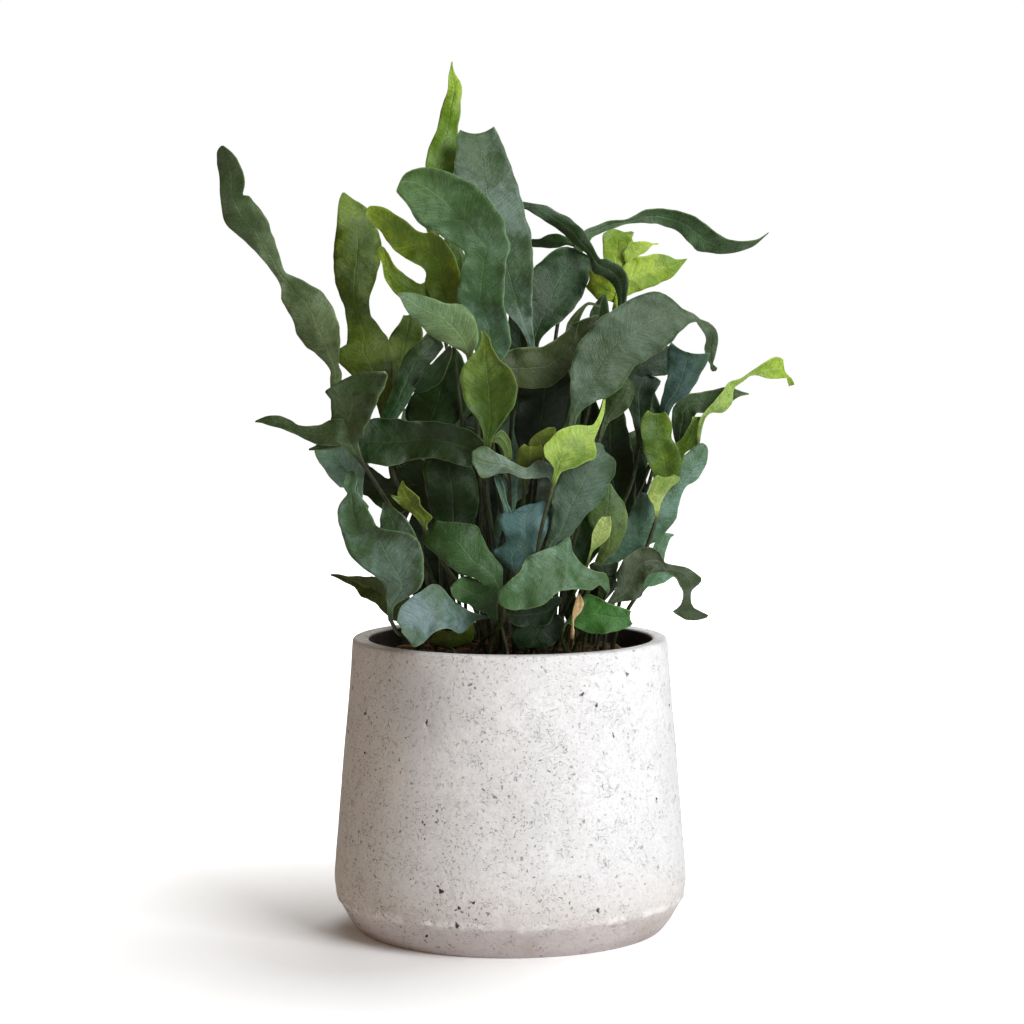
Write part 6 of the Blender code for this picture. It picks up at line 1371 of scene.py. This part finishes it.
            faces.append(face[::-1] if flip else face)
    part = np.clip(mm / max(mm[-1], 1), 0, 1)
    tint = faces_tint[0] * (1 - part)[:, None] + faces_tint[1] * part[:, None]
    across = v[None] * width[:, None] / 2
    margin = np.minimum((1 - np.abs(v))[None] * width[:, None] / 2, (mm[-1] - mm)[:, None] * 0.8 + 0.3)
    stipe = np.clip((4 - mm) / 5, 0, 1) if stem else np.zeros(rings)

    def both(value):
        value = np.broadcast_to(value, (rings, COLUMNS))
        return np.concatenate([value, value], 1).ravel()

    under = np.concatenate([np.zeros((rings, COLUMNS)), np.ones((rings, COLUMNS))], 1).ravel()
    facts = {"across": both(across), "along": both(mm[:, None]), "margin": both(margin),
             "under": under, "stipe": both(stipe[:, None])}
    return points, faces, facts, np.repeat(tint, n, 0)


def make_frond(name, blades, rows, skins):
    """One frond as one piece, with the attributes and the tint that its material reads."""
    faces_tint = [linear(colour) for colour in FACE[name]]
    parts = [fine_blade(name, number, blade, row, faces_tint)
             for number, (blade, row) in enumerate(zip(blades, rows))]
    points, faces = heap([(p, f) for p, f, _, _ in parts])
    skin = skins["dry" if name == "frond_dry" else "leaf"]
    made = surface_object(name.replace("frond", "leaf"), points, faces, skin)
    mesh = made.data
    for key in ("across", "along", "margin", "under", "stipe"):
        values = np.concatenate([facts[key] for _, _, facts, _ in parts]).astype(np.float32)
        mesh.attributes.new(key, "FLOAT", "POINT").data.foreach_set("value", values)
    colours = np.concatenate([tint for _, _, _, tint in parts])
    # The tint takes the painted shade and light of fronds that stand deep in the plant or are lit through.
    colours = PAINTED_SHADE_AND_LIGHT.get(name, 1.0) * np.array(BLOOM[SLOTS.get(name, "leaf_green")]) * colours ** 1.35
    colours = np.concatenate([colours, np.ones((len(colours), 1))], 1).astype(np.float32)
    mesh.attributes.new("tint", "FLOAT_COLOR", "POINT").data.foreach_set("color", colours.ravel())
    bm = bmesh.new()
    bm.from_mesh(mesh)
    bmesh.ops.recalc_face_normals(bm, faces=bm.faces)
    bm.to_mesh(mesh)
    bm.free()
    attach(made, "root")
    if name in SLOTS:
        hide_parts(name)


# How much of each colour a kind of leaf gives back under its bloom.
BLOOM = {"leaf_bluish": (0.84, 0.87, 0.77), "leaf_glaucous": (0.82, 0.84, 0.75),
         "leaf_green": (0.78, 0.86, 0.60), "leaf_olive": (0.84, 0.84, 0.50),
         "leaf_fresh": (0.88, 0.84, 0.52), "leaf_pale": (0.88, 0.84, 0.62), "leaf_dry": (0.9, 0.9, 0.9)}
# Painted shade and light: fronds deep in the plant are darker than their kind for the shade they stand in,
# and some others are made brighter where light shines through them, or darker.
PAINTED_SHADE_AND_LIGHT = {name: np.array((0.62, 0.78, 0.5)) for name in (
    "frond_dark_middle", "frond_dark_inner", "frond_dark_left", "frond_dark_right", "frond_low_dark",
    "frond_green_oval", "frond_diagonal", "frond_low_green", "frond_dark_bar", "frond_olive_behind",
    "frond_tufts_right", "frond_folded_left")}
PAINTED_SHADE_AND_LIGHT.update({"frond_hand": 1.5, "frond_bright_top": 1.25, "frond_bright_lobed": 1.25,
                   "frond_fork": 1.25, "frond_pale_twist": 1.25, "frond_big_right": 0.8,
                   "frond_arc": 0.75, "frond_oval_dark": 0.75, "frond_yellow_small": 0.8})

SLOTS = {row["node"]: row["material_slot"] for row in frame["record"]["subparts"]}
fronds = {**FRONDS, **back_fronds()}
BACK_FACES = (("#6f8a6c", "#7a9478"), ("#56744c", "#638058"), ("#6c8a80", "#7d978e"), ("#62743e", "#6c7e48"))
for i in range(len(BACK)):
    FACE[f"frond_back_{i + 1}"] = BACK_FACES[i % len(BACK_FACES)]
roots = spread_roots(fronds)
grown = build_blades(fronds, roots)
bend_clear(grown)
skins = {"leaf": leaf_material(), "dry": dry_material()}
for name, (_, blades) in fronds.items():
    make_frond(name, grown[name], [blade[3] for blade in blades], skins)

# Young and old leaves deep in the plant, small and dark, each on a stipe of its own. Their dark colours are
# partly their own and partly painted shade of the plant's inside. They stand wherever there is room between
# the larger fronds and close the gaps that the light would show through.
UNDERSTOREY = [  # foot x, foot z, tip x, tip z, half the width, colour
    (50, 196, 52, 264, 11, "#3c5238"), (57, 186, 64, 244, 8.5, "#42583a"),
    (-39, 156, -45, 214, 10.5, "#3a4f38"), (-31, 150, -31, 192, 4.5, "#42522c"),
    (3, 258, 3, 311, 7, "#4c6454"), (37, 222, 41, 268, 6, "#4f6030"),
    (-22, 300, -28, 346, 6.5, "#6c8040"), (30, 146, 31, 175, 4, "#3f5530"),
    (40, 150, 41.5, 177, 5, "#41582f"), (-12, 190, -14, 250, 9, "#35492f"),
    (20, 180, 22, 246, 10, "#384e34"), (-52, 205, -56, 252, 8, "#3c5236"),
    (72, 236, 71, 268, 5, "#465c44"), (46, 285, 46, 313, 5.5, "#5a7060"), (8, 150, 6, 200, 7, "#34482c"),
]


def free_depth(blade, taken):
    """The depth, nearest to the middle of the plant, where a flat blade stays clearest of the others."""
    spots = blade.xz.reshape(-1, 2)
    near = taken[(np.abs(taken[:, 0] - spots[:, 0].mean()) < np.ptp(spots[:, 0]) / 2 + 1)
                 & (taken[:, 1] > spots[:, 1].min()) & (taken[:, 1] < spots[:, 1].max())]
    tries = np.arange(-20, 70, 1.5)
    clear = np.array([np.abs(near[:, 2] - y).min() if len(near) else 9 for y in tries])
    return tries[np.argmax(np.minimum(clear, 4) - 0.01 * np.abs(tries - 18))]


taken = [np.concatenate([blade.xz, (blade.y + blade.shift[:, None])[..., None]], -1).reshape(-1, 3)
         for row in grown.values() for blade in row]
taken = np.concatenate(taken)
for number, (foot_x, foot_z, tip_x, tip_z, half, colour) in enumerate(UNDERSTOREY, 1):
    rows = []
    for t in np.linspace(0, 1, 8):
        x, z = foot_x + (tip_x - foot_x) * t + 2 * math.sin(5 * t + number), foot_z + (tip_z - foot_z) * t
        wide = max(half * math.sin(math.pi * min(1, 0.1 + 0.87 * t)) ** 0.8, 0.8)
        rows.append((x - wide, z, x + wide, z + 0.3 * math.sin(number)))
    name = f"frond_inner_{number}"
    depth = free_depth(Blade(name, 0, (0, 0, 0), rows), taken)
    blade = Blade(name, 0, (depth, depth, 0), rows, (0.55 * foot_x, 0.55 * depth))
    FACE[name] = (colour, colour)
    make_frond(name, [blade], [rows], skins)

# What has fallen on the mix: a dry brown stipe, curved over at the left by the wall, and a yellow dead
# leaf that lies folded at the right. Both are loose.
DRY_STIPE_RADIUS = 0.55
YELLOW_LEAF_ROWS = 26
YELLOW_LEAF_THICKNESS = 0.0004   # metres, as the modifier takes it


def make_dry_stipe():
    """The dry stipe: a thin rod that arches over the mix and rests on it."""
    line = []
    for t in np.linspace(0, 1, 22):
        a = 2.5 + 2.9 * t
        height = 137.6 + 7.5 * math.sin(a) * (0.4 + 0.6 * t) * -0.9
        line.append((-51 + 7.5 * math.cos(a), -22 - 16 * t, height))
    line = [(x, y, max(z, ground(x, y) + 0.4)) for x, y, z in line]
    points, faces = strand(line, DRY_STIPE_RADIUS + 0.15 * np.sin(np.linspace(0, 3, len(line))), 8)
    shade = Shade("dry_stipe")
    mottle = shade.noise(shade.place(), 260.0, 3.0)
    colour = shade.mix(mottle, (0.20, 0.12, 0.07, 1), (0.42, 0.29, 0.19, 1))
    made = surface_object("dry_stipe", points, faces, shade.finish(colour, 0.75, [(mottle, 0.2)]))
    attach(made, "root")


def make_yellow_leaf():
    """The dead leaf: a small waved blade, folded up at both edges."""
    rows = YELLOW_LEAF_ROWS
    points, faces = [], []
    for i in range(rows):
        t = i / (rows - 1)
        x, y = 28 + 22 * t, -56 + 6 * math.sin(2.6 * t)
        half = 3.4 * math.sin(math.pi * min(1, 0.06 + 0.9 * t)) ** 0.7
        for j in range(9):
            v = j / 4 - 1
            px, py = x + 0.3 * half * v, y + half * v
            rise = 1.5 + 1.5 * v * v * math.sin(5 * t + 1) + 0.5 * math.sin(11 * t + 3 * v)
            points.append((px, py, max(soil_height(math.hypot(px, py)), 134) + 1.3 + rise))
    for i in range(rows - 1):
        for j in range(8):
            faces.append((i * 9 + j, i * 9 + j + 1, (i + 1) * 9 + j + 1, (i + 1) * 9 + j))
    shade = Shade("yellow_leaf")
    mottle = shade.noise(shade.place(), 120.0, 4.0)
    colour = shade.mix(shade.step(mottle, 0.35, 0.65), (0.38, 0.30, 0.08, 1), (0.62, 0.50, 0.17, 1))
    made = surface_object("yellow_leaf", points, faces, shade.finish(colour, 0.6, [(mottle, 0.3)]))
    thick = made.modifiers.new("thickness", "SOLIDIFY")
    thick.thickness = YELLOW_LEAF_THICKNESS
    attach(made, "root")


make_dry_stipe()
make_yellow_leaf()
